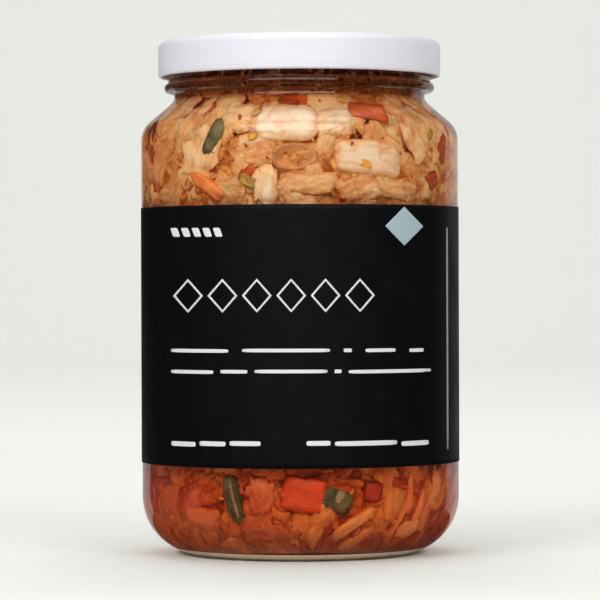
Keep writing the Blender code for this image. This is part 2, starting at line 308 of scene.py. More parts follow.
def soaked(tree, colour, stew, share):
    # the brine's red, from orange to crimson by stew, and painted shade where the lid shades the neck
    red = blendColours(tree, 1.0, colour, blendColours(tree, stew, soakLook["orange"],
                                                       soakLook["crimson"]), "MULTIPLY")
    colour = blendColours(tree, share, colour, red)
    return blendColours(tree, own(tree, "shade"), colour, soakLook["neckPaintedShade"], "MULTIPLY")


def soakedVegetable(name, look):
    # pale flesh with fibres, deeper and stained along edges and creases, redder low in the jar, with
    # painted shade at the sides and in the neck
    material, tree, shader, place = newFinish(name)
    along = node(tree, "UVMap", uv_map="UVMap").outputs[0]
    blotch = grain(tree, place, look["blotch"], 4.0, 0.6)
    fibre = grain(tree, along, look["fibre"], 3.0, 0.6, look["fibreStretch"], 0.4)
    edge, pick, soak, crease = (own(tree, key) for key in ("edge", "pick", "soak", "crease"))
    patches = multiply(tree, spread(tree, blotch, 0.40, 0.62), 0.55)
    tone = add(tree, multiply(tree, pick, 0.75), patches)
    tone = add(tree, tone, multiply(tree, edge, 0.35))
    colour = blendColours(tree, add(tree, tone, -0.25), look["pale"], look["deep"])
    streak = multiply(tree, spread(tree, fibre, 0.42, 0.62), look["fibreShare"])
    colour = blendColours(tree, streak, colour, look["streak"])
    stain = add(tree, multiply(tree, crease, 0.65),
                multiply(tree, edge, spread(tree, blotch, 0.45, 0.6)))
    colour = blendColours(tree, multiply(tree, stain, look["stainShare"]), colour, look["stain"])
    low = node(tree, "Bump", {"Strength": look["bump"], "Distance": 0.0006, "Height": fibre})
    fine = node(tree, "Bump", {"Strength": 0.3, "Distance": 0.0003, "Normal": low.outputs[0],
                               "Height": grain(tree, place, look["blotch"] * 6, 3.0)})
    fill(tree, shader, {
        "Base Color": soaked(tree, colour, own(tree, "stew"), multiply(tree, soak, look["soakShare"])),
        "Roughness": spread(tree, blotch, 0.3, 0.7, look["rough"] - 0.08, look["rough"] + 0.1),
        "Specular IOR Level": 0.35, "Subsurface Weight": look["glow"],
        "Subsurface Radius": (1.0, 0.5, 0.25), "Subsurface Scale": 0.0014,
        "Normal": fine.outputs[0]})
    return material


# the jar's glass

glassLook = {
    "wall": 2.8 * mm,
    "bodyTop": 117.0 * mm,
    "shoulderArc": 7.0 * mm,
    "shoulderTurn": 50,               # degrees
    "neck": 35.6 * mm,
    "neckBottom": 128.6 * mm,
    "neckTop": 130.3 * mm,
    "neckFillet": (1.1 * mm, 1.3 * mm),
    "bead": 38.4 * mm,
    "beadTop": 133.4 * mm,
    "finishFoot": 37.3 * mm,
    "finishFootTop": 135.2 * mm,
    "finish": 36.3 * mm,
    "mouth": 33.2 * mm,
    "lip": 1.2 * mm,
    "heel": (16.0 * mm, 16.5 * mm),
    "heelTurn": 80,
    "ring": (31.4 * mm, 29.6 * mm),
    "ringBevel": (1.4 * mm, 0.8 * mm),
    "pushUp": 3.0 * mm,
    "waves": (0.07 * mm, 0.03 * mm),  # of the wall's inside and outside
    "lugRise": (2.4 * mm, 3.0 * mm),  # where a lug starts above the finish's foot, and its climb
    "notchDepth": 0.18 * mm,
    "innerHeel": (13.2 * mm, 12.3 * mm),
    "innerFloor": 4.7 * mm,
    "innerFloorCentre": 6.2 * mm,
    "steps": 288,
    "lugs": 4,
    "lugHeight": 0.9 * mm,
    "notches": 96,
    "tint": (0.975, 0.985, 0.975),
    # painted light: below this height the foot takes a pale cream colour that stands in for light
    # passing through the thick glass
    "footPaintedLightTop": 2.5 * mm,
    "footPaintedLight": srgb(255, 231, 199),
}


def shoulderPath(radius, arc, foot):
    # from the top of the body over an arc, then up the slope
    look = glassLook
    curve = arcPoints((radius - arc, look["bodyTop"]), (arc, arc), 0, look["shoulderTurn"], 14)
    slope = np.linspace(curve[-1], foot, 9)[1:]
    return np.concatenate([curve, slope])


def innerPath():
    # the inside of the glass, from the middle of the floor to the mouth
    look = glassLook
    radius = jarRadius - look["wall"]
    wide, high = look["innerHeel"]
    heel = arcPoints((radius - wide, look["innerFloor"] + high), (wide, high), -90, 0, 18)
    floor = np.linspace((0, look["innerFloorCentre"]), heel[0], 7)[:-1]
    body = np.linspace(heel[-1], (radius, look["bodyTop"]), 16)[1:-1]
    neck = shoulderPath(radius, look["shoulderArc"] - look["wall"] / 2,
                        (look["mouth"], look["neckBottom"]))
    bore = np.linspace(neck[-1], (look["mouth"], glassHigh.z - look["lip"]), 12)[1:]
    return np.concatenate([floor, heel, body, neck, bore])


def outerPath():
    # the outside of the glass, from the lip to the middle of the push-up
    look = glassLook
    top = glassHigh.z
    lip = arcPoints((look["finish"] - look["lip"], top - look["lip"]), (look["lip"],) * 2, 90, 0, 8)
    thread = np.linspace(lip[-1], (look["finish"], look["finishFootTop"] + 1.0 * mm), 22)[1:]
    foot = [(look["finishFoot"], look["finishFootTop"]), (look["finishFoot"], look["beadTop"])]
    beadHigh = (look["beadTop"] - look["neckTop"]) / 2 - 0.3 * mm
    beadMiddle = (look["finishFoot"], (look["beadTop"] + look["neckTop"] + 0.3 * mm) / 2)
    bead = arcPoints(beadMiddle, (look["bead"] - look["finishFoot"], beadHigh), 70, -70, 12)
    neck = [(look["neck"], look["neckTop"]), (look["neck"], look["neckBottom"])]
    fillet = look["neckFillet"]
    neckFoot = (look["neck"] + fillet[0], look["neckBottom"] - fillet[1])
    upper = roundedPath([thread[-1], *foot, bead[0]], (0.4 * mm, 0.25 * mm), 5)
    under = roundedPath([bead[-1], *neck, neckFoot], (0.6 * mm, 0.7 * mm), 7)
    shoulder = shoulderPath(jarRadius, look["shoulderArc"], neckFoot)[::-1]
    wide, high = look["heel"]
    body = np.linspace((jarRadius, look["bodyTop"]), (jarRadius, high), 14)[1:-1]
    heel = arcPoints((jarRadius - wide, high), (wide, high), 0, -look["heelTurn"], 22)
    outer, inner = look["ring"]
    bevel = (inner - look["ringBevel"][0], look["ringBevel"][1])
    ring = roundedPath([heel[-1], (outer, 0), (inner, 0), bevel, (0, look["pushUp"])],
                       (0.2 * mm, 0.4 * mm, 0.6 * mm), 5)
    return np.concatenate([lip, thread, upper[1:], bead[1:-1], under, shoulder[1:], body, heel,
                           ring[1:]])


def glassShift(radius, height, angle):
    # slow waves in the wall, slanted lugs on the finish and small notches on the contact ring
    look = glassLook
    where = np.stack([np.cos(angle), np.sin(angle), height / jarRadius], -1)
    inside = radius < np.interp(height, outsideLine[:, 1], outsideLine[:, 0]) - 0.5 * mm
    wave = lumps(where, 0.9, 3, 2)
    inner, outer = look["waves"]
    radius = radius + np.where(inside, inner, -outer) * wave * (height > 8 * mm)
    turn = angle * look["lugs"] / (2 * np.pi) % 1
    lugLine = look["finishFootTop"] + look["lugRise"][0] + look["lugRise"][1] * turn
    lug = np.exp(-((height - lugLine) / (0.7 * mm)) ** 2) * smoothStep(0.1, 0.2, turn)
    lug = lug * (1 - smoothStep(0.62, 0.72, turn))
    onFinish = (height > look["finishFootTop"] + 1.1 * mm) & (radius > look["finish"] - 0.1 * mm)
    radius = radius + look["lugHeight"] * lug * onFinish
    notch = 0.5 + 0.5 * np.cos(look["notches"] * angle)
    onRing = (height < 0.02 * mm) & (np.abs(radius - sum(look["ring"]) / 2) < 0.8 * mm)
    return radius, height + look["notchDepth"] * notch * onRing


def clearGlass(name, mirrored):
    # mirrored is how much of the straight-on reflection a face keeps: none where brine wets it
    material, tree, shader, place = newFinish(name)
    fill(tree, shader, {"Specular Tint": (mirrored, mirrored, mirrored, 1),
                        "Base Color": (*glassLook["tint"], 1), "Roughness": 0.0, "IOR": 1.5,
                        "Transmission Weight": 1.0})
    relief(tree, shader, 0.05, 0.001, grain(tree, place, 55.0, 1.0))
    letLampsThrough(tree, shader.outputs[0])
    return material


def footPaintedLightGlass():
    # the pressed foot: painted light, a pale cream colour that stands in for light passing through the
    # thick glass, over fine stipple bumps
    material, tree, shader, place = newFinish("footPaintedLightGlass")
    grit = grain(tree, place, 1600.0, 2.0)
    tone = blendColours(tree, spread(tree, grit, 0.4, 0.6), glassLook["footPaintedLight"],
                        darker(glassLook["footPaintedLight"], 0.75))
    fill(tree, shader, {"Base Color": tone, "Roughness": 0.3, "IOR": 1.5,
                        "Transmission Weight": 0.05})
    relief(tree, shader, 0.4, 0.0002, grit)
    return material


print("glass")
inside, outside = innerPath(), outerPath()
outsideLine = outside[np.argsort(outside[:, 1])]
lipInside = 0.7 * mm
rim = arcPoints((glassLook["mouth"] + lipInside, glassHigh.z - lipInside), (lipInside,) * 2, 180, 90, 5)
profile = np.concatenate([inside[:-1], rim, outside])
glassPoints, glassFaces = spinProfile(profile, glassLook["steps"], glassShift)
jarPiece = putMesh("jarGlass", glassPoints, glassFaces, clearGlass("clearGlass", 1.0))
jarPiece.data.materials.append(clearGlass("wettedGlass", 0.0))
jarPiece.data.materials.append(footPaintedLightGlass())
band = np.arange(1, len(profile) - 2)  # one band of faces between each two rings
isWet = band < len(inside) - 2
# the foot's faces take the painted light
isFoot = ~isWet & (profile[band, 1] < glassLook["footPaintedLightTop"])
isFoot = isFoot & (profile[band, 0] > glassLook["ring"][1] - glassLook["ringBevel"][0])
finish = np.repeat(np.where(isWet, 1, np.where(isFoot, 2, 0)), glassLook["steps"])
finish = np.concatenate([finish, np.repeat((1, 0), glassLook["steps"])])
jarPiece.data.polygons.foreach_set("material_index", finish.astype(np.int32))
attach(jarPiece, "root")
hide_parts("jar_glass")


# the lid

lidLook = {
    "sheet": 0.3 * mm,
    "corner": 2.0 * mm,
    "curl": 0.75 * mm,
    "panelDrop": 0.8 * mm,
    "panel": 31.2 * mm,
    "step": 32.6 * mm,
    "button": 11.0 * mm,
    "steps": 256,
    "lugs": 4,
    "lugPress": 0.7 * mm,
    "wobble": 0.02 * mm,
    "white": (0.80, 0.795, 0.865),
    "speck": (0.62, 0.61, 0.62),
    "curlGrey": (0.45, 0.43, 0.44),
}


def lidPath():
    # the pressed cup from the middle of the panel, down the skirt, round the curl and back inside
    look = lidLook
    radius, top, bottom = lidHigh.x, lidHigh.z, lidLow.z
    panelTop = top - look["panelDrop"]
    ridge = [(0, panelTop + 0.1 * mm), (look["button"] - 1.2 * mm, panelTop + 0.1 * mm),
             (look["button"], panelTop - 0.15 * mm), (look["panel"] - 3.0 * mm, panelTop),
             (look["panel"], panelTop), (look["step"], top), (radius - look["corner"], top)]
    panel = roundedPath(ridge, (0.8 * mm, 0.8 * mm, 0.8 * mm, 0.6 * mm, 0.6 * mm), 5)
    middle = (radius - look["corner"], top - look["corner"])
    corner = arcPoints(middle, (look["corner"],) * 2, 90, 0, 10)
    innerCorner = arcPoints(middle, (look["corner"] - look["sheet"],) * 2, 0, 90, 8)
    middle = (radius - look["curl"], bottom + look["curl"])
    skirt = np.linspace(corner[-1], (radius, middle[1] + 0.5 * mm), 12)[1:]
    neckIn = [(radius - 0.12 * mm, middle[1] + 0.25 * mm)]
    curl = arcPoints(middle, (look["curl"],) * 2, 0, -235, 16)
    inner = np.array([(radius - look["sheet"], bottom + 1.7 * mm),
                      (radius - look["sheet"], top - look["corner"])])
    back = np.array([(look["step"] + 0.15 * mm, top - look["sheet"]),
                     (look["panel"] + 0.15 * mm, panelTop - look["sheet"]),
                     (look["button"], panelTop - look["sheet"] - 0.15 * mm),
                     (0, panelTop - look["sheet"])])
    return np.concatenate([panel[:-1], corner, skirt, neckIn, curl, inner, innerCorner[1:], back])


def lidShift(radius, height, angle):
    # four short lugs press the curl inwards, and the skirt is a hair out of round
    look = lidLook
    turn = angle * look["lugs"] / (2 * np.pi) % 1
    press = smoothStep(0.40, 0.46, turn) * (1 - smoothStep(0.54, 0.60, turn))
    onCurl = (height < lidLow.z + 2 * look["curl"]) & (radius < lidHigh.x - 0.9 * look["curl"])
    wobble = look["wobble"] * np.sin(3 * angle + 0.7) * (radius > look["step"])
    return radius - look["lugPress"] * press * onCurl - np.abs(wobble), height


def satinEnamel():
    # white lacquer on pressed steel: faint orange peel, soft handling marks, greyer towards the curl's
    # lower edge
    look = lidLook
    material, tree, shader, place = newFinish("satinEnamel")
    cloud = grain(tree, place, 45.0, 4.0)
    speck = grain(tree, place, 900.0, 2.0)
    paint = blendColours(tree, spread(tree, cloud, 0.3, 0.7, 0.0, 0.5), look["white"],
                         darker(look["white"], 0.965))
    paint = blendColours(tree, spread(tree, speck, 0.70, 0.78, 0.0, 0.25), paint, look["speck"])
    height = node(tree, "SeparateXYZ", {0: place}).outputs[2]
    # greyer towards the curl's lower edge
    curlGreying = spread(tree, height, lidLow.z + 0.9 * mm, lidLow.z + 0.1 * mm, 0.0, 0.22)
    paint = blendColours(tree, curlGreying, paint, look["curlGrey"])
    fill(tree, shader, {"Base Color": paint, "Coat Weight": 0.25, "Coat Roughness": 0.28,
                        "Roughness": spread(tree, cloud, 0.3, 0.7, 0.33, 0.43)})
    relief(tree, shader, 0.12, 0.0002, grain(tree, place, 650.0, 2.0))
    return material


def sealRubber():
    # pale matt rubber, a little cloudy
    material, tree, shader, place = newFinish("sealRubber")
    tone = blendColours(tree, grain(tree, place, 200.0), (0.62, 0.60, 0.55), (0.72, 0.70, 0.66))
    fill(tree, shader, {"Base Color": tone, "Roughness": 0.6})
    return material


print("lid and seal")
lidPoints, lidFaces = spinProfile(lidPath(), lidLook["steps"], lidShift)
lidPiece = putMesh("pressedLid", lidPoints, lidFaces, satinEnamel())
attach(lidPiece, "root")
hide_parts("lid")

sealLook = {
    "inner": 33.4 * mm,
    "outer": 38.0 * mm,
    "sits": 36.4 * mm,                # where it meets the lip of the glass
    "thick": 0.9 * mm,
    "steps": 128,
}

sealTop = lidHigh.z - lidLook["sheet"] - 0.02 * mm
inner, outer, low = sealLook["inner"], sealLook["outer"], sealTop - sealLook["thick"]
sealStart = (inner, sealTop - 0.3 * mm)
sealPath = roundedPath([sealStart, (inner + 0.6 * mm, sealTop), (outer - 0.2 * mm, sealTop),
                        (outer, low), (outer - 1.1 * mm, low),
                        (sealLook["sits"], glassHigh.z + 0.02 * mm), sealStart], (0.2 * mm,) * 5, 4)
sealPoints, sealFaces = spinProfile(sealPath[:-1], sealLook["steps"])
ring = np.arange(sealLook["steps"])
lastRing = len(sealPoints) - sealLook["steps"] + ring
sealFaces.append(quads(lastRing, ring, np.roll(ring, -1), np.roll(lastRing, -1)))
sealPiece = putMesh("lidSeal", sealPoints, sealFaces, sealRubber())
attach(sealPiece, "root")


# the label: a wrapped sheet and what is printed on it

labelLook = {
    "inner": 45.05 * mm,
    "outer": 45.20 * mm,
    "gap": 8.0 * mm,
    "ink": 0.03 * mm,
    "inkSunk": 0.02 * mm,             # how far the ink reaches into the paper
    "grid": (240, 50),
    "ragged": 0.06 * mm,
    "edgeLift": 0.16 * mm,
    "waves": 0.015 * mm,
    "black": srgb(11, 10, 15),
    "rubbed": srgb(18, 17, 21),
    "cut": srgb(62, 60, 63),          # the sheet's cut edges
    "chalk": srgb(226, 227, 229),
    "pale": srgb(166, 187, 194),
    "ruleGrey": srgb(150, 150, 153),
}


def aroundLabel(turn, height, lift):
    # lift is above the sheet's outer face
    return roundJar(labelLook["outer"] + lift, turn, height)


def labelSheet():
    # a slab bent round the jar, its back edges lifting a little and its cut edges uneven
    look = labelLook
    columns, rows = look["grid"]
    reach = math.pi - look["gap"] / 2 / jarRadius
    turn, up = np.meshgrid(np.linspace(-reach, reach, columns), np.linspace(0, 1, rows), indexing="ij")
    where = np.stack([np.cos(turn), np.sin(turn), up], -1)
    ragged = look["ragged"] * lumps(where, 0.06, 11, 2)
    height = labelLow.z + up * (labelHigh.z - labelLow.z)
    height = height - np.sign(up - 0.5) * np.abs(ragged) * (np.abs(up - 0.5) > 0.499)
    lift = look["edgeLift"] * smoothStep(reach - 0.05, reach, np.abs(turn))
    lift = lift * (0.4 + 0.6 * np.abs(2 * up - 1)) + look["waves"] * lumps(where, 0.35, 12, 2)
    points = twoLayers(aroundLabel(turn, height, lift),
                       aroundLabel(turn, height, lift + look["inner"] - look["outer"]))
    uv = np.tile(np.stack([turn * jarRadius, height], -1).reshape(-1, 2) * 100, (2, 1))
    return points, [slabFaces(columns, rows)], uv


def coatedPaper():
    # near black coated paper: fine tooth, faint rubbing, paler cut edges
    look = labelLook
    material, tree, shader, place = newFinish("coatedPaper")
    along = node(tree, "UVMap", uv_map="UVMap").outputs[0]
    rub = grain(tree, along, 1.6, 5.0, 0.62, (1.0, 0.45, 1.0))
    tone = blendColours(tree, spread(tree, rub, 0.45, 0.75, 0.0, 0.5), look["black"], look["rubbed"])
    height = node(tree, "SeparateXYZ", {0: place}).outputs[2]
    upper = spread(tree, height, labelHigh.z - 0.25 * mm, labelHigh.z, 0.0, 0.5)
    lower = spread(tree, height, labelLow.z + 0.25 * mm, labelLow.z, 0.0, 0.5)
    tone = blendColours(tree, either(tree, upper, lower), tone, look["cut"])
    fill(tree, shader, {"Base Color": tone, "Specular IOR Level": 0.11,
                        "Roughness": spread(tree, rub, 0.3, 0.7, 0.46, 0.60)})
    relief(tree, shader, 0.10, 0.0001, grain(tree, place, 1500.0, 2.0))
    return material


def printedInk(name, colour):
    # matt ink with patches up to a third of the way to a darker tone
    material, tree, shader, place = newFinish(name)
    patchy = grain(tree, place, 700.0, 3.0)
    tone = blendColours(tree, spread(tree, patchy, 0.45, 0.75, 0.0, 0.3), colour, darker(colour, 0.8))
    fill(tree, shader, {"Base Color": tone, "Roughness": 0.5})
    relief(tree, shader, 0.15, 0.0001, patchy)
    return material


camera = {
    "distance": 918 * mm,
    "height": 75.2 * mm,
    "mmPerPixel": 0.2848 * mm,        # at the jar's axis
    "middle": (300, 288),             # the pixel of the jar's axis at the camera's height
    "image": 600,
    "roll": 0.2,                      # degrees
}


def printSpot(x, y):
    # the turn and height on the label under pixel x, y of the image: the ray's distance from the
    # axis gives the turn, and the spot's nearness to the camera scales the height
    across = (x - camera["middle"][0]) * camera["mmPerPixel"]
    turn = np.arcsin(across / labelLook["outer"]) - across / camera["distance"]
    nearness = 1 - labelLook["outer"] * np.cos(turn) / camera["distance"]
    height = camera["height"] - (y - camera["middle"][1]) * camera["mmPerPixel"] * nearness
    return turn, height


def printedBlock(left, top, right, bottom, lean=0.0, columns=8, power=2.6):
    # a filled superellipse |u|^p + |v|^p = 1 on the label, leaning like a slanted stroke
    line = np.linspace(-1, 1, columns + 1)
    u, v = np.meshgrid(line, line, indexing="ij")
    size = np.maximum(np.abs(u), np.abs(v))
    norm = (np.abs(u) ** power + np.abs(v) ** power) ** (1 / power)
    ease = np.divide(size, norm, out=np.zeros_like(size), where=norm > 0)
    u, v = u * ease, v * ease
    middle = (left + right) / 2
    x = middle + (right - left) / 2 * u + lean * (bottom - top) / 2 * v
    turn = printSpot(x, 0)[0]
    low, high = printSpot(middle, bottom)[1], printSpot(middle, top)[1]
    height = (low + high) / 2 + (high - low) / 2 * v
    points = twoLayers(aroundLabel(turn, height, labelLook["ink"]),
                       aroundLabel(turn, height, -labelLook["inkSunk"]))
    return points, slabFaces(columns + 1, columns + 1)


def printedLozenge(x, y, halfWide, halfHigh, stroke, perSide=6):
    # an outlined diamond: points run round |x| + |y| = 1 at two sizes, closed into a thin band
    t = np.arange(4 * perSide) / perSide
    cornerX, cornerY = np.array([1, 0, -1, 0, 1]), np.array([0, 1, 0, -1, 0])
    alongX, alongY = np.interp(t, range(5), cornerX), np.interp(t, range(5), cornerY)
    rings = []
    for shrink, lift in ((0, 1), (0, 0), (stroke, 0), (stroke, 1)):
        turn = printSpot(x + (halfWide - shrink) * alongX, 0)[0]
        low, high = printSpot(x, y + halfHigh)[1], printSpot(x, y - halfHigh)[1]
        height = (low + high) / 2 + (high - low) / 2 * (1 - shrink / halfHigh) * alongY
        rings.append(aroundLabel(turn, height, labelLook["ink"] if lift else -labelLook["inkSunk"]))
    points = np.stack(rings, 1).reshape(-1, 3)
    here = np.arange(4 * perSide)[:, None] * 4 + np.arange(4)
    onward = np.roll(here, -1, 0)
    return points, quads(here, onward, np.roll(onward, -1, 1), np.roll(here, -1, 1))


def outwardFaces(points, faces):
    # flips a closed body's faces if its signed volume is below nothing
    a, b, c, d = (points[faces[:, i]] for i in range(4))
    volume = np.einsum("ij,ij->i", a, np.cross(b, c) + np.cross(c, d)).sum()
    return faces if volume > 0 else faces[:, ::-1]


def joinBodies(bodies):
    # several (points, faces) bodies as one set of arrays
    points, faces, count = [], [], 0
    for spots, corners in bodies:
        points.append(spots)
        faces.append(outwardFaces(spots, corners) + count)
        count += len(spots)
    return np.concatenate(points), [np.concatenate(faces)]


printLook = {
    "nameMarks": {"x": 172, "step": 10.6, "count": 5, "wide": 7.0, "top": 227.5, "bottom": 236.5},
    "lozenges": {"x": 188, "step": 34.4, "count": 6, "y": 295.5, "halfWide": 15.0, "halfHigh": 17.0,
                 "stroke": 2.6},
    "lineOne": {"y": 350.5, "thick": 3.6, "words": (57, 88, 8, 30, 14), "x": 171, "space": 13.8},
    "lineTwo": {"y": 371.5, "thick": 3.6, "words": (42, 27, 73, 7, 82), "x": 171, "space": 7.1},
    "footLeft": {"y": 443.5, "thick": 4.8, "words": (24, 26, 31), "x": 171, "space": 4.0},
    "footRight": {"y": 443.5, "thick": 4.8, "words": (24, 62, 27), "x": 306, "space": 4.5},
    "rule": {"x": 447, "top": 228, "bottom": 450, "wide": 1.6},
    "motif": {"x": 404.5, "top": 207, "bottom": 246, "wide": 19.0},
}


def wordRow(line):
    # a row of soft ended bars
    x, blocks = line["x"], []
    for wide in line["words"]:
        blocks.append(printedBlock(x, line["y"] - line["thick"] / 2, x + wide,
                                   line["y"] + line["thick"] / 2, columns=12, power=7.0))
        x += wide + line["space"]
    return blocks


print("label")
sheetPoints, sheetFaces, sheetUv = labelSheet()
labelPiece = putMesh("labelSheet", sheetPoints, sheetFaces, coatedPaper(), sheetUv)
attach(labelPiece, "root")
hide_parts("label")

marks = printLook["nameMarks"]
chalkBlocks = [printedBlock(marks["x"] + i * marks["step"], marks["top"],
                            marks["x"] + i * marks["step"] + marks["wide"], marks["bottom"],
                            lean=-0.35, power=6.0) for i in range(marks["count"])]
row = printLook["lozenges"]
chalkBlocks += [printedLozenge(row["x"] + i * row["step"], row["y"], row["halfWide"], row["halfHigh"],
                               row["stroke"]) for i in range(row["count"])]
for key in ("lineOne", "lineTwo", "footLeft", "footRight"):
    chalkBlocks += wordRow(printLook[key])
motif, rule = printLook["motif"], printLook["rule"]
motifBlock = printedBlock(motif["x"] - motif["wide"], motif["top"], motif["x"] + motif["wide"],
                          motif["bottom"], columns=24, power=1.0)
ruleBlock = printedBlock(rule["x"] - rule["wide"] / 2, rule["top"], rule["x"] + rule["wide"] / 2,
                         rule["bottom"], columns=12, power=9.0)
for name, blocks, ink, colour in (("chalkPrint", chalkBlocks, "chalkInk", "chalk"),
                                  ("palePrint", [motifBlock], "paleInk", "pale"),
                                  ("ruleLine", [ruleBlock], "ruleInk", "ruleGrey")):
    points, faces = joinBodies(blocks)
    printPiece = putMesh(name, points, faces, printedInk(ink, labelLook[colour]))
    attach(printPiece, "root")


# the kimchi: what shows at the front is listed one by one, and the rest follows a seeded rule

packLook = {
    "gap": 0.30 * mm,
    "floor": 5.6 * mm,
    "edgeDrop": 0.3,                  # mm
    "press": {"leaf": 1.3, "chunk": 0.8, "rib": 0.5, "curl": 0.0, "stalk": 0.3},   # mm
    "otherPress": 0.5,
    "contact": 0.03,                  # how softly a piece flattens on the glass, in square mm
    "loose": 0.16,                    # how far a deep piece leans out of its outline
    "tilt": 2.2,                      # mm by which it tips for a looseness of 1
    "grids": (0.38, 0.62),            # mm, for the pieces that show most and for the rest
    # painted shade: the colours are deeper at the left and right, where less light falls
    "sidePaintedShadeTone": 0.7,                  # how much deeper the colours are at the left and right
    "sides": (40, 62, 100, 130),      # degrees from the front where that comes and goes
    "leftMore": 0.65,
    # painted shade: how much deeper the colours are where the lid shades the neck
    "neckPaintedShadeTone": 0.8,
    "neckShade": (126.0, 129.0),      # mm, where the lid's shade begins and is full
    "calmSide": (30, 85),             # degrees where the brine leaves orange, hardly any crimson
    "calmShare": 0.1,
}

# crown, wave, wave length and thickness in mm, how far corners draw in, how ragged the outline is
kindShapes = {
    "rib": (1.5, 0.0, 20.0, 3.4, 0.14, 0.05),
    "leaf": (0.2, 0.5, 8.0, 1.2, 0.22, 0.34),
    "chunk": (0.4, 0.2, 9.0, 2.0, 0.13, 0.19),
    "stalk": (1.6, 0.0, 9.0, 2.8, 0.14, 0.04),
    "strip": (0.5, 0.1, 9.0, 2.4, 0.08, 0.12),
    "pepper": (0.3, 0.2, 9.0, 1.4, 0.10, 0.07),
    "curl": (-1.3, 0.0, 9.0, 2.8, 0.16, 0.04),
    "bit": (0.4, 0.0, 9.0, 1.2, 0.24, 0.20),
}

# kind, degrees from the front, height, length, width (mm), turn (degrees), depth (mm), and tone
upperFront = [
    ("rib", -5, 119.6, 17.5, 9.6, 0, 0.0, 0.18),
    ("rib", 14, 119.8, 11.5, 8.0, 4, 0.6, 0.42),
    ("rib", 27, 110.6, 21.0, 10.0, -5, 0.0, 0.36),
    ("pepper", 29, 122.4, 12.5, 5.0, -6, 0.3, 0.50),
    ("curl", -2, 111.0, 14.0, 8.0, 0, 0.1, 0.55),
    ("stalk", -34, 115.8, 11.0, 5.6, 62, 0.0, -0.40),
    ("leaf", -41, 110.5, 15.0, 12.5, 70, 0.6, 0.10),
    ("leaf", -48, 119.6, 13.0, 8.5, 30, 0.9, 0.40),
    ("chunk", -25, 121.6, 11.0, 7.5, -8, 0.5, 0.10),
    ("chunk", -16, 111.6, 10.5, 7.5, 12, 0.7, 0.45),
    ("pepper", -20, 105.2, 5.5, 3.6, -30, 0.3, 0.90),
    ("leaf", -13, 103.0, 9.5, 7.0, 88, 0.4, 0.00),
    ("strip", -37, 103.4, 13.5, 4.4, -32, 0.2, 0.30),
    ("chunk", 4, 103.6, 15.5, 6.0, 0, 0.5, 0.40),
    ("leaf", 50, 116.5, 17.0, 9.5, -55, 0.5, 0.20),
    ("pepper", 67, 114.0, 8.5, 5.0, 80, 0.3, 1.00),
    ("pepper", 59, 105.0, 6.0, 5.0, 20, 0.3, 0.80),
    ("chunk", 40, 102.4, 15.0, 6.5, -8, 0.6, 0.40),
    ("chunk", -64, 110.0, 12.0, 8.0, 60, 0.6, 0.80),
    ("chunk", -58, 101.0, 10.0, 6.5, 10, 0.7, 0.70),
]
lowerFront = [
    ("stalk", -26, 17.6, 13.5, 5.2, -76, 0.1, 0.10),
    ("pepper", 1, 19.0, 12.5, 9.5, -8, 0.1, 0.10),
    ("chunk", 13, 17.6, 10.5, 8.0, -10, 1.1, 1.00),
    ("chunk", -41, 12.6, 12.5, 5.4, -6, 0.3, 0.05),
    ("rib", 21, 11.4, 14.0, 3.8, 30, 0.2, 0.20),
    ("rib", 24, 7.8, 13.0, 3.6, 30, 0.5, 0.35),
    ("pepper", 28, 19.4, 6.0, 6.0, 80, 0.4, 0.60),
    ("chunk", 37, 17.0, 10.0, 7.0, -78, 0.5, 0.35),
    ("pepper", 40, 21.6, 6.0, 3.4, -8, 0.2, 0.95),
    ("leaf", -15, 19.0, 9.5, 8.0, 80, 0.6, 0.60),
    ("chunk", 6, 9.0, 6.0, 4.4, 50, 0.4, 0.05),
    ("chunk", 55, 17.0, 10.0, 6.0, 60, 0.5, 0.30),
    ("chunk", -58, 17.0, 9.0, 7.0, 70, 0.6, 0.60),
    ("leaf", -14, 9.6, 13.0, 6.0, -6, 0.6, 0.80),
]

# small things that show at the front and have no solid
fineFront = [
    ("bit", 25.0, 109.2, 4.6, 3.0, -20, 0.0, 0.00),
    ("bit", -19.3, 104.4, 5.4, 3.4, -25, 0.0, 1.00),
    ("bit", -17.4, 122.2, 2.8, 1.9, 40, 0.0, 0.35),
    ("bit", -17.6, 116.4, 2.6, 1.9, 10, 0.1, 0.30),
    ("bit", 57.0, 117.6, 2.8, 2.2, 60, 0.1, 0.40),
    ("bit", 19.2, 126.0, 3.4, 1.8, 0, 0.1, 0.30),
    ("rib", -12.6, 102.4, 8.4, 5.4, 86, 0.1, -0.40),
    ("stalk", 13.2, 17.4, 10.0, 7.6, -10, 0.15, -0.45),
    ("stalk", 14.4, 18.0, 5.0, 3.6, 60, 0.0, 1.20),
    ("stalk", -25.4, 17.8, 12.0, 1.9, -76, 0.0, 1.30),
    ("strip", 45.0, 19.0, 12.0, 2.6, 84, 0.4, 0.00),
    ("strip", 50.0, 14.0, 12.0, 2.4, 66, 0.3, 0.15),
    ("strip", 41.0, 13.0, 10.0, 2.4, 70, 0.5, 0.30),
    ("leaf", 60.0, 20.0, 11.0, 5.0, 80, 0.4, -0.40),
    ("leaf", 47.0, 9.6, 9.0, 5.0, 20, 0.5, -0.30),
    ("pepper", 33.0, 6.9, 4.6, 4.0, 10, 0.3, 1.60),
]

ruleLook = {
    "seed": 5,
    "rows": ((119.8, 10, 11.0), (110.8, 10, 11.0), (102.4, 10, 9.0), (19.6, 10, 9.8), (11.2, 9, 8.6)),
    "kinds": ("rib", "chunk", "leaf", "rib", "chunk", "strip", "leaf", "pepper", "chunk", "stalk"),
    "slim": {"strip": 0.6, "stalk": 0.6, "pepper": 0.75},
    "start": 76.0,
    "sweep": 208.0,
    "neckCount": 7,
    "neckHeight": 129.2,
    "neckWidth": 4.5,
    "seamCount": 5,
    "seam": (36.0, 14.0),             # the lowest height and the step, in mm
}


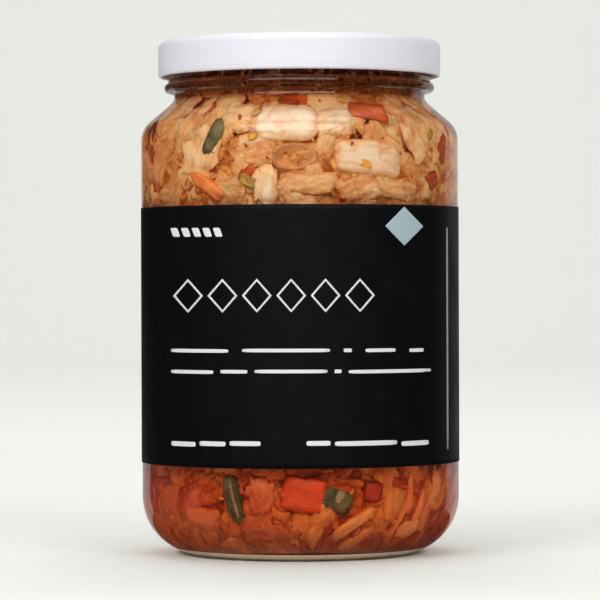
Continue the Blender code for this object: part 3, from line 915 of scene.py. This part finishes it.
def ruleRows():
    # the same seeded rows as the solids: sides and back, the neck, and the gap of the label
    look = ruleLook
    draw = random.Random(look["seed"])
    tones = random.Random(31)
    rows = []
    for height, count, width in look["rows"]:
        for index in range(count):
            kind = look["kinds"][draw.randrange(len(look["kinds"]))]
            degrees = look["start"] + look["sweep"] * (index + 0.5) / count + draw.uniform(-4, 4)
            size = width * draw.uniform(0.75, 1.0)
            stretch = draw.uniform(1.3, 1.7)
            z = height + draw.uniform(-1.2, 1.2)
            turn = draw.choice((-1, 1)) * draw.uniform(0, 35)
            depth = draw.uniform(0.1, 0.9)
            size *= look["slim"].get(kind, 1.0)
            rows.append((kind, degrees, z, size * stretch, size, turn, depth, tones.random()))
    for index in range(look["neckCount"]):
        degrees = 360 * index / look["neckCount"] + draw.uniform(-10, 10)
        z = look["neckHeight"] + draw.uniform(-0.8, 0.8)
        length = draw.uniform(9, 13)
        rows.append(("chunk", degrees, z, length, look["neckWidth"], draw.uniform(-15, 15), 1.6, 0.9))
    for index in range(look["seamCount"]):
        kind = look["kinds"][draw.randrange(4)]
        degrees = 180 + draw.uniform(-3, 3)
        z = look["seam"][0] + look["seam"][1] * index
        rows.append((kind, degrees, z, 12.0, 8.0, draw.uniform(-30, 30), 0.4, tones.random()))
    return rows


fillLook = {
    "seed": 44,
    "bands": ((98.0, 128.0, 200), (6.5, 28.0, 125)),
    "seam": (30.0, 96.0, 14),
    "kinds": ("leaf", "chunk", "chunk", "leaf", "rib", "chunk", "leaf", "strip", "chunk", "pepper",
              "leaf", "rib"),
    "steps": (0.7548777, 0.5698403),  # two ratios that never line up, so the spread is even
    "pepperShare": 0.25,              # of the lower window
    "widths": (4.2, 9.0),
    "slim": 0.6,
    "depths": (0.8, 1.9),
}


def fillRows():
    # loose pieces behind and between the main ones, spread evenly round each window
    look = fillLook
    draw = random.Random(look["seed"])
    rows = []
    for low, high, count in look["bands"]:
        for index in range(count):
            kind = look["kinds"][draw.randrange(len(look["kinds"]))]
            degrees = 360 * (index * look["steps"][0] % 1) + draw.uniform(-3, 3)
            z = low + (high - low) * (index * look["steps"][1] % 1)
            if low < 50 and draw.random() < look["pepperShare"]:
                kind = "pepper"
            width = draw.uniform(*look["widths"])
            width *= look["slim"] if kind in ("strip", "pepper") else 1.0
            rows.append((kind, degrees, z, width * draw.uniform(1.2, 2.2), width,
                         draw.uniform(-80, 80), draw.uniform(*look["depths"]), draw.random()))
    low, high, count = look["seam"]
    for index in range(count):
        rows.append(("chunk", 180 + draw.uniform(-6, 6), low + (high - low) * index / (count - 1),
                     draw.uniform(7, 12), draw.uniform(4, 6), draw.uniform(-70, 70),
                     draw.uniform(0.8, 1.8), draw.random()))
    return rows


wallLine = innerPath()[7:]            # from the heel's foot upwards
wallReach = jarRadius - glassLook["wall"]


def wallRadius(height):
    # how far out the vegetables may reach at a height
    return np.interp(height, wallLine[:, 1], wallLine[:, 0]) - packLook["gap"]


def soakAt(height):
    # 1 low in the jar, 0 where the brine no longer reddens
    return 1 - smoothStep(soakLook["redTo"], soakLook["redFrom"], height)


def sidePaintedShade(degrees):
    # the share of painted shade: 0 at the front and the back, 1 at the sides, a little more at the left
    away = np.abs((degrees + 180) % 360 - 180)
    left = 1 - packLook["leftMore"] * np.sin(np.radians(degrees))
    sides = packLook["sides"]
    return left * smoothStep(*sides[:2], away) * (1 - smoothStep(*sides[2:], away))


def neckShare(z):
    # 0 below the neck's foot and 1 where the lid shades it
    return smoothStep(*packLook["neckShade"], z / mm)


def hugWall(row, along, across, outward):
    # mm on the piece to a place in the jar: bent round the axis, held off the wall by outward
    degrees, height, angle = row[1], row[2], math.radians(row[5])
    sideways = (along * math.cos(angle) - across * math.sin(angle)) * mm
    z = (height + along * math.sin(angle) + across * math.cos(angle)) * mm
    z = np.maximum(z, packLook["floor"])
    return roundJar(wallRadius(z) + outward * mm, math.radians(degrees) + sideways / wallReach, z)


def pieceTop(kind, u, v, along, across, number):
    # how far the outer face lies below its highest line, in mm, and where it is creased: u and v
    # run from -1 to 1, along and across are the same places in mm. Every kind is crowned and
    # drops at its edge. A curl has a raised ring, a rib fine sine fibres, a chunk stepped layers,
    # a leaf a middle vein, side veins and crumples, a stalk sine fibres, and a pepper and a strip low
    # lumps.
    crown = kindShapes[kind][0]
    edge = np.maximum(np.abs(u), np.abs(v)) ** 4
    flow = np.stack([along / 7, across / 2.6, np.full_like(u, number * 0.731)], -1)
    crease = smoothStep(0.82, 1.0, 1 - np.abs(lumps(flow, 1.0, 23, 2)))
    if kind == "curl":
        ring = np.minimum(np.hypot(u, v), 1)
        lipRidge = 0.5 * np.exp(-((ring - 0.80) / 0.10) ** 2)
        return crown * (1 - ring) + lipRidge - 0.5 - packLook["edgeDrop"] * edge, 0 * crease
    top = -crown * (0.75 * np.abs(v) ** 3 + 0.4 * u ** 4) - packLook["edgeDrop"] * edge
    rough = np.stack([along, across, np.full_like(u, number * 3.1)], -1)
    if kind == "rib":
        fibres = np.sin(2 * np.pi * across / 1.7 + 1.8 * lumps(flow, 1.3, 5, 2))
        top = top + 0.11 * fibres * (1 - edge) - 0.30 * crease
        top = top + 0.20 * lumps(rough, 4.0, 6, 2) - 0.15
    if kind == "chunk":
        layer = (across / 2.2 + 0.8 * lumps(rough, 5.0, 9, 2) + number) % 1
        step = np.where(layer < 0.8, layer / 0.8, (1 - layer) / 0.2)
        crease = np.maximum(crease, 0.7 * np.exp(-((layer - 0.02) / 0.08) ** 2))
        top = top + 0.38 * step - 0.4 + 0.18 * lumps(rough, 2.0, 10, 2)
    if kind == "leaf":
        middle = np.exp(-(across / 0.55) ** 2)
        veins = np.abs(np.sin(0.9 * (along - 1.3 * np.abs(across)) + number)) ** 6
        crumple = lumps(rough, 2.6, 22, 3)
        top = top + 0.30 * middle + 0.22 * veins * (1 - edge)
        top = top + 0.42 * crumple - 0.35
        crease = np.clip(crease * 0.6 + 0.5 * (1 - smoothStep(-0.5, 0.1, crumple)), 0, 1)
    if kind == "stalk":
        fibres = np.sin(2 * np.pi * across / 0.9 + 0.8 * lumps(flow, 1.2, 7, 1))
        top = top + 0.10 * fibres * (1 - edge)
    if kind in ("pepper", "strip"):
        top = top + 0.14 * lumps(rough, 1.8, 8, 2) - 0.14 * crease - 0.1
    return top, crease


def pieceBody(row, number, cell):
    # a slab of two grids: the outer face follows pieceTop, the inner one lies a thickness below,
    # and both meet in a rounded border. cell is the grid's step in mm.
    kind, degrees, (length, width), (depth, tone) = row[0], row[1], row[3:5], row[6:]
    wave, waveLength, thick, rounding, raggedness = kindShapes[kind][1:]
    columns = int(np.clip(length / cell, 9, 60))
    rows = int(np.clip(width / cell, 8, 44))
    reach = 0.86 * np.pi / 2
    line1, line2 = (np.sin(np.linspace(-1, 1, count) * reach) / math.sin(reach)
                    for count in (columns, rows))
    u, v = np.meshgrid(line1, line2, indexing="ij")
    draw = random.Random(number)
    phase = draw.uniform(0, 2 * math.pi)
    taper, lean, tip, roll = (draw.uniform(-1, 1) for part in range(4))
    if kind == "curl":
        norm = np.divide(np.maximum(np.abs(u), np.abs(v)), np.hypot(u, v),
                         out=np.ones_like(u), where=np.hypot(u, v) > 0)
        u, v = u * norm, v * norm
    where = np.stack([u, v, np.full_like(u, number * 0.731)], -1)
    ease = 1 - rounding * (u * v) ** 2
    ragged = ease * (1 + raggedness * lumps(where, 0.55, 21, 3))
    loose = min(1.0, 0.3 + depth) * packLook["loose"]
    along = u * length / 2 * ragged + lean * loose * v * width
    across = v * width / 2 * ragged * (1 + taper * loose * u)
    ruffle = np.sin(phase + 2 * np.pi * along / waveLength)
    top, crease = pieceTop(kind, u, v, along, across, number)
    outward = top - depth + wave * (ruffle * (0.6 + 0.4 * v) - 1)
    outward = outward + packLook["tilt"] * loose * (tip * u + roll * v - 1)
    outward = outward + packLook["press"].get(kind, packLook["otherPress"])
    outward = (outward - np.sqrt(outward ** 2 + packLook["contact"])) / 2
    border = np.maximum(np.abs(u), np.abs(v))
    full = np.sqrt(np.clip(1 - border ** 10, 0.02, 1))
    face = outward - 0.3 * thick * (1 - full)
    points = twoLayers(hugWall(row, along, across, face),
                       hugWall(row, along, across, face - thick * full))
    uv = np.tile(np.stack([along, across], -1).reshape(-1, 2) / 10 + number * 0.7, (2, 1))
    shaded = neckShare(points[:, 2])
    calm = packLook["calmSide"][0] < degrees < packLook["calmSide"][1]
    stew = draw.random() * (packLook["calmShare"] if calm else 1.0)
    # painted shade: colours deepen at the sides, where less light falls, and in the neck under the lid,
    # where the crease stain also covers the piece
    pick = tone + packLook["sidePaintedShadeTone"] * sidePaintedShade(degrees) + packLook["neckPaintedShadeTone"] * shaded
    marks = {"edge": np.tile((border ** 4).ravel(), 2), "pick": pick, "shade": shaded,
             "crease": np.maximum(np.tile(crease.ravel(), 2), shaded),
             "stew": np.full(len(points), stew)}
    return points, slabFaces(columns, rows), uv, marks


def kimchiPart(piece):
    # one of the things that stand for the solid heap together
    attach(piece, "root")
    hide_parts("kimchi")


def kindPiece(name, rows, material, start):
    # all pieces of one kind as one mesh, the ones that show most on finer grids
    fine, coarse = packLook["grids"]
    bodies = [pieceBody(row, start + index, fine if row[6] <= 1.0 and row[3] > 8 else coarse)
              for index, row in enumerate(rows)]
    points, faces = joinBodies([body[:2] for body in bodies])
    marks = {key: np.concatenate([body[3][key] for body in bodies]) for key in bodies[0][3]}
    marks["soak"] = soakAt(points[:, 2])
    uv = np.concatenate([body[2] for body in bodies])
    kimchiPart(putMesh(name, points, faces, material, uv, marks))
    print(name, len(rows), "pieces,", 2 * len(faces[0]), "triangles")


# how each kind looks: a name, four display colours, and the numbers that soakedVegetable uses
vegetableKeys = (
    "name", "pale", "deep", "streak", "stain", "stainShare", "fibre", "fibreStretch", "fibreShare",
    "soakShare", "blotch", "rough", "glow", "bump")
vegetableRows = {
    "rib": ("cabbageRibs", (248, 227, 206), (232, 176, 128), (240, 204, 172), (214, 128, 66),
            0.50, 2.4, (0.35, 6.0, 1.0), 0.45, 1.0, 150.0, 0.34, 0.25, 0.35),
    "leaf": ("cabbageLeaves", (243, 203, 160), (212, 136, 76), (248, 218, 184), (184, 86, 34),
             0.50, 2.8, (1.2, 2.6, 1.0), 0.50, 1.0, 190.0, 0.36, 0.32, 0.50),
    "chunk": ("cabbageChunks", (240, 192, 144), (202, 122, 64), (246, 206, 164), (178, 82, 30),
              0.52, 2.6, (0.6, 4.5, 1.0), 0.45, 1.0, 210.0, 0.36, 0.32, 0.45),
    "stalk": ("springOnion", (50, 54, 28), (196, 168, 128), (112, 104, 62), (46, 36, 18),
              0.55, 2.6, (0.3, 9.0, 1.0), 0.60, 0.55, 170.0, 0.30, 0.05, 0.35),
    "strip": ("carrotStrips", (236, 136, 72), (208, 96, 46), (244, 164, 100), (176, 70, 30),
              0.40, 2.6, (0.5, 5.0, 1.0), 0.35, 0.6, 240.0, 0.32, 0.12, 0.30),
    "pepper": ("redPepper", (228, 98, 30), (118, 38, 22), (240, 134, 70), (120, 34, 16),
               0.45, 2.0, (0.8, 3.0, 1.0), 0.30, 1.0, 260.0, 0.28, 0.10, 0.25),
    "curl": ("curledRib", (230, 176, 132), (176, 110, 76), (204, 142, 102), (150, 84, 50),
             0.30, 2.0, (1.0, 4.0, 1.0), 0.35, 1.0, 200.0, 0.34, 0.15, 0.35),
    "bit": ("gingerBits", (238, 160, 62), (96, 92, 48), (226, 190, 96), (150, 96, 34),
            0.30, 2.0, (1.0, 3.0, 1.0), 0.30, 0.2, 300.0, 0.34, 0.05, 0.25),
}
vegetableLooks = {kind: dict(zip(vegetableKeys, row)) for kind, row in vegetableRows.items()}
for look in vegetableLooks.values():
    look.update({key: srgb(*look[key]) for key in ("pale", "deep", "streak", "stain")})

print("vegetables")
allRows = upperFront + lowerFront + ruleRows() + fillRows() + fineFront
for index, kind in enumerate(vegetableLooks):
    look = vegetableLooks[kind]
    kindPiece(look["name"], [r for r in allRows if r[0] == kind],
              soakedVegetable(look["name"], look), 100 * index)


# the finely cut mass behind the pieces

mashLook = {
    "depth": 1.9 * mm,
    "clear": 0.15 * mm,               # left between the mash and the pieces' line
    "top": 135.6 * mm,
    "dome": 2.0 * mm,
    "neck": 31.2 * mm,
    "slope": (31.2 * mm, 124.2 * mm),
    "heel": (11.8 * mm, 12.1 * mm),
    "floorGap": 0.7 * mm,
    "fine": 0.22 * mm,
    # the mash's share of the painted side shade
    "sidePaintedShade": 0.8,
    # painted shade: how far the lid's shade darkens the neck's mash like a cleft
    "neckPaintedShadeCleft": 0.8,
    "steps": 480,
    "pale": srgb(236, 186, 138),
    "mid": srgb(206, 136, 84),
    # painted shade in the clefts between chips and in the neck
    "cleftPaintedShade": srgb(144, 76, 32),
    "stain": srgb(176, 88, 38),
    "fleck": srgb(184, 62, 26),
}

chipLook = {
    "columns": 60,                    # round the jar
    "rowHeight": 3.0 * mm,
    "cellWide": 4.2 * mm,
    "long": 4.4 * mm,
    "wide": 2.0 * mm,
    "bend": 0.35,                     # of a cell, how far the grid wanders
    "tilt": 0.34,
    "lift": 1.2 * mm,
    "cleft": 0.6 * mm,
    "seed": 81,
}


def chipField(points):
    # the chopped surface is a jittered grid of chips, each a small tilted plate with its own turn.
    # A place belongs to the chip whose middle is nearest in that chip's own stretched measure, and
    # a cleft runs where the nearest two are equally near.
    look = chipLook
    bent = np.stack([lumps(points, 5 * mm, seed, 2) for seed in (61, 62)], -1)
    bent = look["bend"] * bent
    around = np.arctan2(points[:, 0], -points[:, 1]) / (2 * np.pi) * look["columns"] + bent[:, 0]
    up = points[:, 2] / look["rowHeight"] + bent[:, 1]
    column, row = np.floor(around).astype(np.int64), np.floor(up).astype(np.int64)
    nearest, second = np.full(len(points), 9.0), np.full(len(points), 9.0)
    lift, tone = np.zeros(len(points)), np.zeros(len(points))
    for stepAcross in (-1, 0, 1):
        for stepUp in (-2, -1, 0, 1, 2):
            cell = ((column + stepAcross) % look["columns"], row + stepUp)
            chance = [latticeValue(*cell, number + 0 * cell[0], look["seed"]) for number in range(7)]
            x = (around - column - stepAcross - chance[0]) * look["cellWide"]
            y = (up - row - stepUp - chance[1]) * look["rowHeight"]
            turn = np.pi * chance[2]
            along = x * np.cos(turn) + y * np.sin(turn)
            across = y * np.cos(turn) - x * np.sin(turn)
            stretch = 0.7 + 0.6 * chance[3]
            distance = np.hypot(along / (look["long"] * stretch), across / look["wide"])
            plate = look["tilt"] * ((chance[4] - 0.5) * along + 2 * (chance[5] - 0.5) * across)
            plate = plate + look["lift"] * (chance[6] - 0.5)
            closer = distance < nearest
            second = np.where(closer, nearest, np.minimum(second, distance))
            lift = np.where(closer, plate, lift)
            tone = np.where(closer, chance[5], tone)
            nearest = np.where(closer, distance, nearest)
    cleft = 1 - smoothStep(0.0, 0.28, second - nearest)
    return lift - look["cleft"] * cleft, tone, cleft


def mashPath():
    # like the solid's core: a low dome in the neck, the shoulder's slope, the body and the heel
    look = mashLook
    radius = wallReach - look["depth"]
    dome = arcPoints((0, look["top"] - look["dome"]), (look["neck"], look["dome"]), 90, 0, 18)
    dome[0, 0] = 0
    corners = [dome[-1], look["slope"], (radius, glassLook["bodyTop"] - look["depth"]),
               (radius, labelHigh.z)]
    slope = roundedPath(corners, (2 * mm, 3 * mm), 8)
    distance = np.concatenate([[0], np.cumsum(np.hypot(*np.diff(slope, axis=0).T))])
    even = np.linspace(0, distance[-1], 74)[1:]
    slope = np.stack([np.interp(even, distance, line) for line in slope.T], 1)
    body = np.linspace((radius, labelHigh.z), (radius, labelLow.z + 4 * mm), 26)[1:]
    wide, high = look["heel"]
    heelTop = glassLook["innerFloor"] + glassLook["innerHeel"][1]
    lower = np.linspace(body[-1], (radius, heelTop), 26)[1:-1]
    heel = arcPoints((radius - wide, heelTop), (wide, high), 0, -90, 34)
    floor = np.linspace(heel[-1], (0, glassLook["innerFloorCentre"] + look["floorGap"]), 10)[1:]
    floor[-1, 0] = 0
    return np.concatenate([dome, slope, body, lower, heel, floor])


def choppedMash():
    # each chip has its own tone, with stains, red flecks and dark clefts of painted shade, redder low
    # in the jar
    material, tree, shader, place = newFinish("choppedMash")
    pick, cleft, soak = own(tree, "pick"), own(tree, "cleft"), own(tree, "soak")
    patch = grain(tree, place, 190.0, 5.0, 0.6)
    tone = blendColours(tree, spread(tree, pick, 0.1, 0.8), mashLook["mid"], mashLook["pale"])
    tone = blendColours(tree, spread(tree, patch, 0.44, 0.64, 0.0, 0.7), tone, mashLook["stain"])
    # painted shade: the clefts between chips, and the neck under the lid, darker
    tone = blendColours(tree, multiply(tree, cleft, 0.68), tone, mashLook["cleftPaintedShade"])
    flecks = spread(tree, grain(tree, place, 620.0, 2.0), 0.62, 0.67, 0.0, 0.8)
    tone = blendColours(tree, flecks, tone, mashLook["fleck"])
    pulp = spread(tree, grain(tree, place, 75.0, 3.0), 0.42, 0.58)
    fill(tree, shader, {"Base Color": soaked(tree, tone, pulp, soak), "Roughness": 0.42,
                        "Specular IOR Level": 0.3})
    relief(tree, shader, 0.5, 0.0005, grain(tree, place, 480.0, 4.0))
    return material


print("mash")
mashPoints, mashFaces = spinProfile(mashPath(), mashLook["steps"])
lift, chipTone, cleft = chipField(mashPoints)
turnRound = np.degrees(np.arctan2(mashPoints[:, 0], -mashPoints[:, 1]))
shaded = neckShare(mashPoints[:, 2])
# painted shade: the chips deeper at the sides and in the neck under the lid, and the neck's clefts
# darker
chipTone = chipTone - mashLook["sidePaintedShade"] * packLook["sidePaintedShadeTone"] * sidePaintedShade(turnRound)
chipTone = chipTone - packLook["neckPaintedShadeTone"] * shaded
cleft = np.maximum(cleft, mashLook["neckPaintedShadeCleft"] * shaded)
lift = lift + mashLook["fine"] * lumps(mashPoints, 1.2 * mm, 65, 2)
outwardWay = mashPoints * (1, 1, 0)
outwardWay = outwardWay / np.maximum(np.linalg.norm(outwardWay, axis=1, keepdims=True), 1e-6)
nearAxis = smoothStep(3 * mm, 12 * mm, np.linalg.norm(mashPoints[:, :2], axis=1))
mashPoints = mashPoints + outwardWay * (lift * nearAxis)[:, None]
mashRadius = np.linalg.norm(mashPoints[:, :2], axis=1)
mashReach = wallRadius(mashPoints[:, 2]) - mashLook["clear"]
pressed = np.minimum(1, mashReach / np.maximum(mashRadius, mm))
mashPoints[:, :2] *= pressed[:, None]
mashMarks = {"pick": chipTone, "cleft": cleft, "soak": soakAt(mashPoints[:, 2]), "shade": shaded}
kimchiPart(putMesh("choppedMash", mashPoints, mashFaces, choppedMash(), values=mashMarks))


# small things: shreds, flakes and seeds

crumbLooks = {
    "shreds": {"name": "cabbageShreds", "count": 640, "size": (3.2, 1.3, 0.8), "vary": 0.5,
               "seed": 71, "depth": (1.0, 2.4), "grid": 8},
    "flakes": {"name": "chilliFlakes", "count": 420, "size": (0.9, 0.7, 0.16), "vary": 0.5,
               "seed": 72, "depth": (0.0, 1.6), "grid": 4},
    "seeds": {"name": "chilliSeeds", "count": 46, "size": (1.5, 1.1, 0.35), "vary": 0.2,
              "seed": 73, "depth": (0.05, 1.2), "grid": 5},
}

crumbPlaces = {
    "upper": (0.55, 98, 31),          # a window's share, its foot and its height in mm
    "lower": (0.45, 6, 21),
    "seam": (28, 97),                 # the label's gap at the back
    "seamEvery": 14,
    "neck": (128.5, 135.6),
    "neckEvery": 3,
    "proud": 0.15,                    # mm past the large pieces' line
    "stew": 0.3,
}


def scatteredRows(look):
    # evenly spread by two ratios over both windows, with some in the neck and the label's gap
    places = crumbPlaces
    draw = np.random.RandomState(look["seed"])
    count = look["count"]
    order = np.arange(count)
    degrees = 360 * (order * fillLook["steps"][0] % 1) + draw.uniform(-4, 4, count)
    share = (order * fillLook["steps"][1] + draw.uniform(-0.01, 0.01, count)) % 1
    split, upperFoot, upperHigh = places["upper"]
    rest, lowerFoot, lowerHigh = places["lower"]
    height = np.where(share < split, upperFoot + upperHigh * share / split,
                      lowerFoot + lowerHigh * (share - split) / rest)
    inSeam = order % places["seamEvery"] == 0
    degrees = np.where(inSeam, 180 + draw.uniform(-5, 5, count), degrees)
    height = np.where(inSeam, draw.uniform(*places["seam"], count), height)
    height = np.where(order % places["neckEvery"] == 1, draw.uniform(*places["neck"], count), height)
    scale = 1 + look["vary"] * draw.uniform(-1, 1, count)
    turn, depth = draw.uniform(0, 360, count), draw.uniform(*look["depth"], count)
    return degrees, height, scale, turn, depth, draw.random_sample(count)


def scatteredPiece(look, material):
    # each grain is a small superellipsoid pillow of one grid, all worked out as whole arrays
    degrees, height, scale, turn, depth, tone = (a[:, None, None] for a in scatteredRows(look))
    line = np.linspace(-1, 1, look["grid"])
    u, v = np.meshgrid(line, line, indexing="ij")
    ease = np.maximum(np.abs(u), np.abs(v)) / np.maximum(np.hypot(u, v), 1e-9)
    x, y = u * ease, v * ease
    bulge = np.sqrt(np.clip(1 - np.hypot(x, y) ** 2, 0.0, 1))
    long, wide, thick = look["size"]
    wiggle = 1 + 0.3 * np.sin(3 * u + 11 * tone) * np.cos(2 * v + 7 * tone)
    along, across = x * long / 2 * scale * wiggle, y * wide / 2 * scale * wiggle
    across = across + 0.25 * wide * np.sin(2.2 * u + 19 * tone) * scale
    angle = np.radians(turn)
    sideways = (along * np.cos(angle) - across * np.sin(angle)) * mm
    z = np.maximum((height + along * np.sin(angle) + across * np.cos(angle)) * mm, packLook["floor"])
    turned = np.radians(degrees) + sideways / wallReach
    layers = []
    for way in (1, -1):
        sunk = depth + thick / 2 - way * thick / 2 * bulge - 0.02 * way
        layers.append(roundJar(wallRadius(z) + crumbPlaces["proud"] * mm - sunk * mm, turned, z))
    count, cells = len(depth), look["grid"] ** 2
    points = np.stack(layers, 1).reshape(count, 2 * cells, 3)
    faces = outwardFaces(points[0], slabFaces(look["grid"], look["grid"]))
    faces = (faces[None] + np.arange(count)[:, None, None] * 2 * cells).reshape(-1, 4)
    points = points.reshape(-1, 3)
    uv = np.tile(np.stack([u, v], -1).reshape(-1, 2), (2 * count, 1))
    edge = np.tile((np.maximum(np.abs(u), np.abs(v)) ** 2).ravel(), 2 * count)
    shaded = neckShare(points[:, 2])
    # painted shade: colours deepen in the neck under the lid
    pick = np.repeat(tone.ravel(), 2 * cells) + packLook["neckPaintedShadeTone"] * shaded
    marks = {"edge": edge, "pick": pick, "crease": 0 * edge, "shade": shaded,
             "stew": crumbPlaces["stew"] + 0 * edge, "soak": soakAt(points[:, 2])}
    kimchiPart(putMesh(look["name"], points, [faces], material, uv, marks))


print("shreds, flakes and seeds")
crumbFinish = {
    "shreds": dict(vegetableLooks["chunk"], pale=srgb(240, 196, 150), deep=srgb(196, 112, 54)),
    "flakes": dict(vegetableLooks["pepper"], pale=srgb(206, 60, 26), deep=srgb(150, 34, 18), glow=0.0),
    "seeds": dict(vegetableLooks["rib"], pale=srgb(240, 200, 112), deep=srgb(226, 172, 84), glow=0.0),
}
for key, look in crumbLooks.items():
    scatteredPiece(look, soakedVegetable(look["name"], crumbFinish[key]))


# the brine, which reaches just into the glass

brineLook = {
    "overlap": 0.15 * mm,
    "level": 136.4 * mm,
    "meniscus": 0.8 * mm,
    "meniscusReach": 1.2 * mm,
    "steps": 192,
    "colour": (0.92, 0.68, 0.29),
    "density": 300.0,
    "ior": 1.34,
}


def brinePath():
    # the inner wall moved outwards by the overlap, closed by a level top with a raised rim
    look = brineLook
    line = innerPath()
    wall = line[line[:, 1] < look["level"]][::-1]
    step = np.gradient(wall, axis=0)
    normal = np.stack([-step[:, 1], step[:, 0]], 1) / np.linalg.norm(step, axis=1, keepdims=True)
    wall = wall + normal * look["overlap"]
    wall[-1] = (0, glassLook["innerFloorCentre"] - look["overlap"])
    radius = wall[0, 0]
    reach = np.linspace(0, radius, 24)
    climb = look["meniscus"] * np.exp((reach - radius) / look["meniscusReach"])
    return np.concatenate([np.stack([reach, look["level"] + climb], 1), wall])


def brine():
    # clear liquid that takes colour with depth; its faces mirror nothing against wet glass
    look = brineLook
    material, tree, shader = newFinish("brine")[:3]
    fill(tree, shader, {"Base Color": (1.0, 0.97, 0.93, 1), "Specular Tint": (0, 0, 0, 1),
                        "Roughness": 0.0, "IOR": look["ior"], "Transmission Weight": 1.0})
    inside = node(tree, "VolumeAbsorption", {"Color": (*look["colour"], 1), "Density": look["density"]})
    fill(tree, tree.nodes["Material Output"], {"Volume": inside.outputs[0]})
    letLampsThrough(tree, shader.outputs[0])
    return material


print("brine")
brinePoints, brineFaces = spinProfile(brinePath(), brineLook["steps"])
kimchiPart(putMesh("brineFill", brinePoints, brineFaces, brine()))


# floor, light and camera

stageLook = {
    "width": 8.0,
    "front": -4.0,
    "back": 3.4,
    "sweep": 1.4,
    "rise": 4.0,
    "tone": srgb(229, 230, 225),
    "room": (0.80, 0.81, 0.80),       # what the lamps' room gives, and what the camera sees of it
    "roomGlow": 0.155,
    "roomSeen": srgb(235, 236, 231),
    "lamps": {                        # place, aim, size, power, and whether the glass mirrors it
        "leftLamp": ((-1.0, -1.1, 0.95), (0, 0, 0.07), (1.0, 0.9), 10.9, False),
        "rightLamp": ((0.95, -1.2, 0.90), (0, 0, 0.07), (0.8, 0.9), 8.2, False),
        "frontLamp": ((-0.12, -1.25, 0.98), (0, 0, 0.07), (2.0, 0.45), 6.4, False),
        "topLamp": ((0.0, -0.25, 1.65), (0, 0, 0.05), (1.4, 0.7), 5.4, True),
        "backLamp": ((0.0, 0.45, 1.70), (0, 0.7, 0), (1.6, 1.2), 10.4, False),
        "wallLamp": ((0.0, 1.60, 2.60), (0, 3.0, 0.4), (3.0, 1.0), 52, False),
    },
    "mirrors": {                      # what only the glass and the lid mirror
        "glintLamp": ((-0.12, -1.19, 0.93), (0, 0, 0.07), (1.9, 0.80), 15, True),
        "leftCard": ((-0.20, 0.85, 0.25), (0, 0, 0.08), (0.26, 0.50), 0.15, True),
        "lowLeftCard": ((-0.36, 0.85, -0.11), (0, 0, 0.02), (0.62, 0.20), 0.175, True),
        "rightCard": ((0.45, 0.85, 0.145), (0, 0, 0.08), (0.80, 0.71), 0.85, True),
    },
    "roomMirrored": 0.35,             # the share of the room's glow that mirrors show
}


def paleSweep():
    # a floor that curves up into a wall: a profile in Y and Z carried along X
    look = stageLook
    bend = arcPoints((look["back"] - look["sweep"], look["sweep"]), (look["sweep"],) * 2, -90, 0, 24)
    profile = np.concatenate([[(look["front"], 0)], bend, [(look["back"], look["rise"])]])
    across = np.linspace(-look["width"] / 2, look["width"] / 2, 3)
    points = np.stack([np.repeat(across, len(profile)), np.tile(profile[:, 0], 3),
                       np.tile(profile[:, 1], 3)], 1)
    grid = np.arange(len(points)).reshape(3, -1)
    faces = quads(grid[:-1, :-1], grid[1:, :-1], grid[1:, 1:], grid[:-1, 1:])
    material, tree, shader, place = newFinish("palePaper")
    tone = blendColours(tree, grain(tree, place, 6.0, 2.0), look["tone"], darker(look["tone"], 0.99))
    fill(tree, shader, {"Base Color": tone, "Roughness": 0.9, "Specular IOR Level": 0.1})
    sweep = putMesh("paleSweep", points, [faces], material)
    sweep.visible_glossy = False      # the jar mirrors the dim room, not the bright paper
    return sweep


def softBox(name, place, aim, size, power, mirrored):
    # a rectangular lamp turned so that it shines from place to aim
    light = bpy.data.lights.new(name, "AREA")
    light.shape = "RECTANGLE"
    light.size, light.size_y = size
    light.energy = power
    box = bpy.data.objects.new(name, light)
    box.location = place
    way = np.array(aim) - np.array(place)
    flat = math.hypot(way[0], way[1])
    box.rotation_euler = (math.atan2(flat, -way[2]), 0, math.atan2(way[1], way[0]) - math.pi / 2)
    box.visible_glossy = mirrored
    box.visible_camera = False
    bpy.context.scene.collection.objects.link(box)
    return box


print("floor, light and camera")
paleSweep()
for name, lamp in stageLook["lamps"].items():
    softBox(name, *lamp)
for name, lamp in stageLook["mirrors"].items():
    card = softBox(name, *lamp)
    card.visible_diffuse = False
    card.visible_transmission = False

world = bpy.data.worlds.new("softRoom")
bpy.context.scene.world = world
world.use_nodes = True
room = world.node_tree
lightPath = node(room, "LightPath").outputs
mirrorShare = spread(room, lightPath["Is Glossy Ray"], 0, 1, 1, stageLook["roomMirrored"])
glow = fill(room, room.nodes["Background"], {
    0: (*stageLook["room"], 1), 1: multiply(room, mirrorShare, stageLook["roomGlow"])})
seen = node(room, "Background", {0: (*stageLook["roomSeen"], 1), 1: 1.0})
seenShare = node(room, "MixShader", {0: lightPath["Is Camera Ray"],
                                     1: glow.outputs[0], 2: seen.outputs[0]})
fill(room, room.nodes["World Output"], {0: seenShare.outputs[0]})

lens = bpy.data.cameras.new("photoView")
lens.sensor_width = 36.0
lens.lens = 36.0 * camera["distance"] / (camera["image"] * camera["mmPerPixel"])
lens.clip_start = 0.05
eye = bpy.data.objects.new("photoView", lens)
drop = camera["image"] / 2 - camera["middle"][1]
tilt = math.atan(drop * camera["mmPerPixel"] / camera["distance"])
eye.location = (0, -camera["distance"], camera["height"])
eye.rotation_euler = (math.pi / 2 - tilt, math.radians(camera["roll"]), 0)
bpy.context.scene.collection.objects.link(eye)
bpy.context.scene.camera = eye
bpy.context.scene.view_settings.view_transform = "Standard"

print("done")
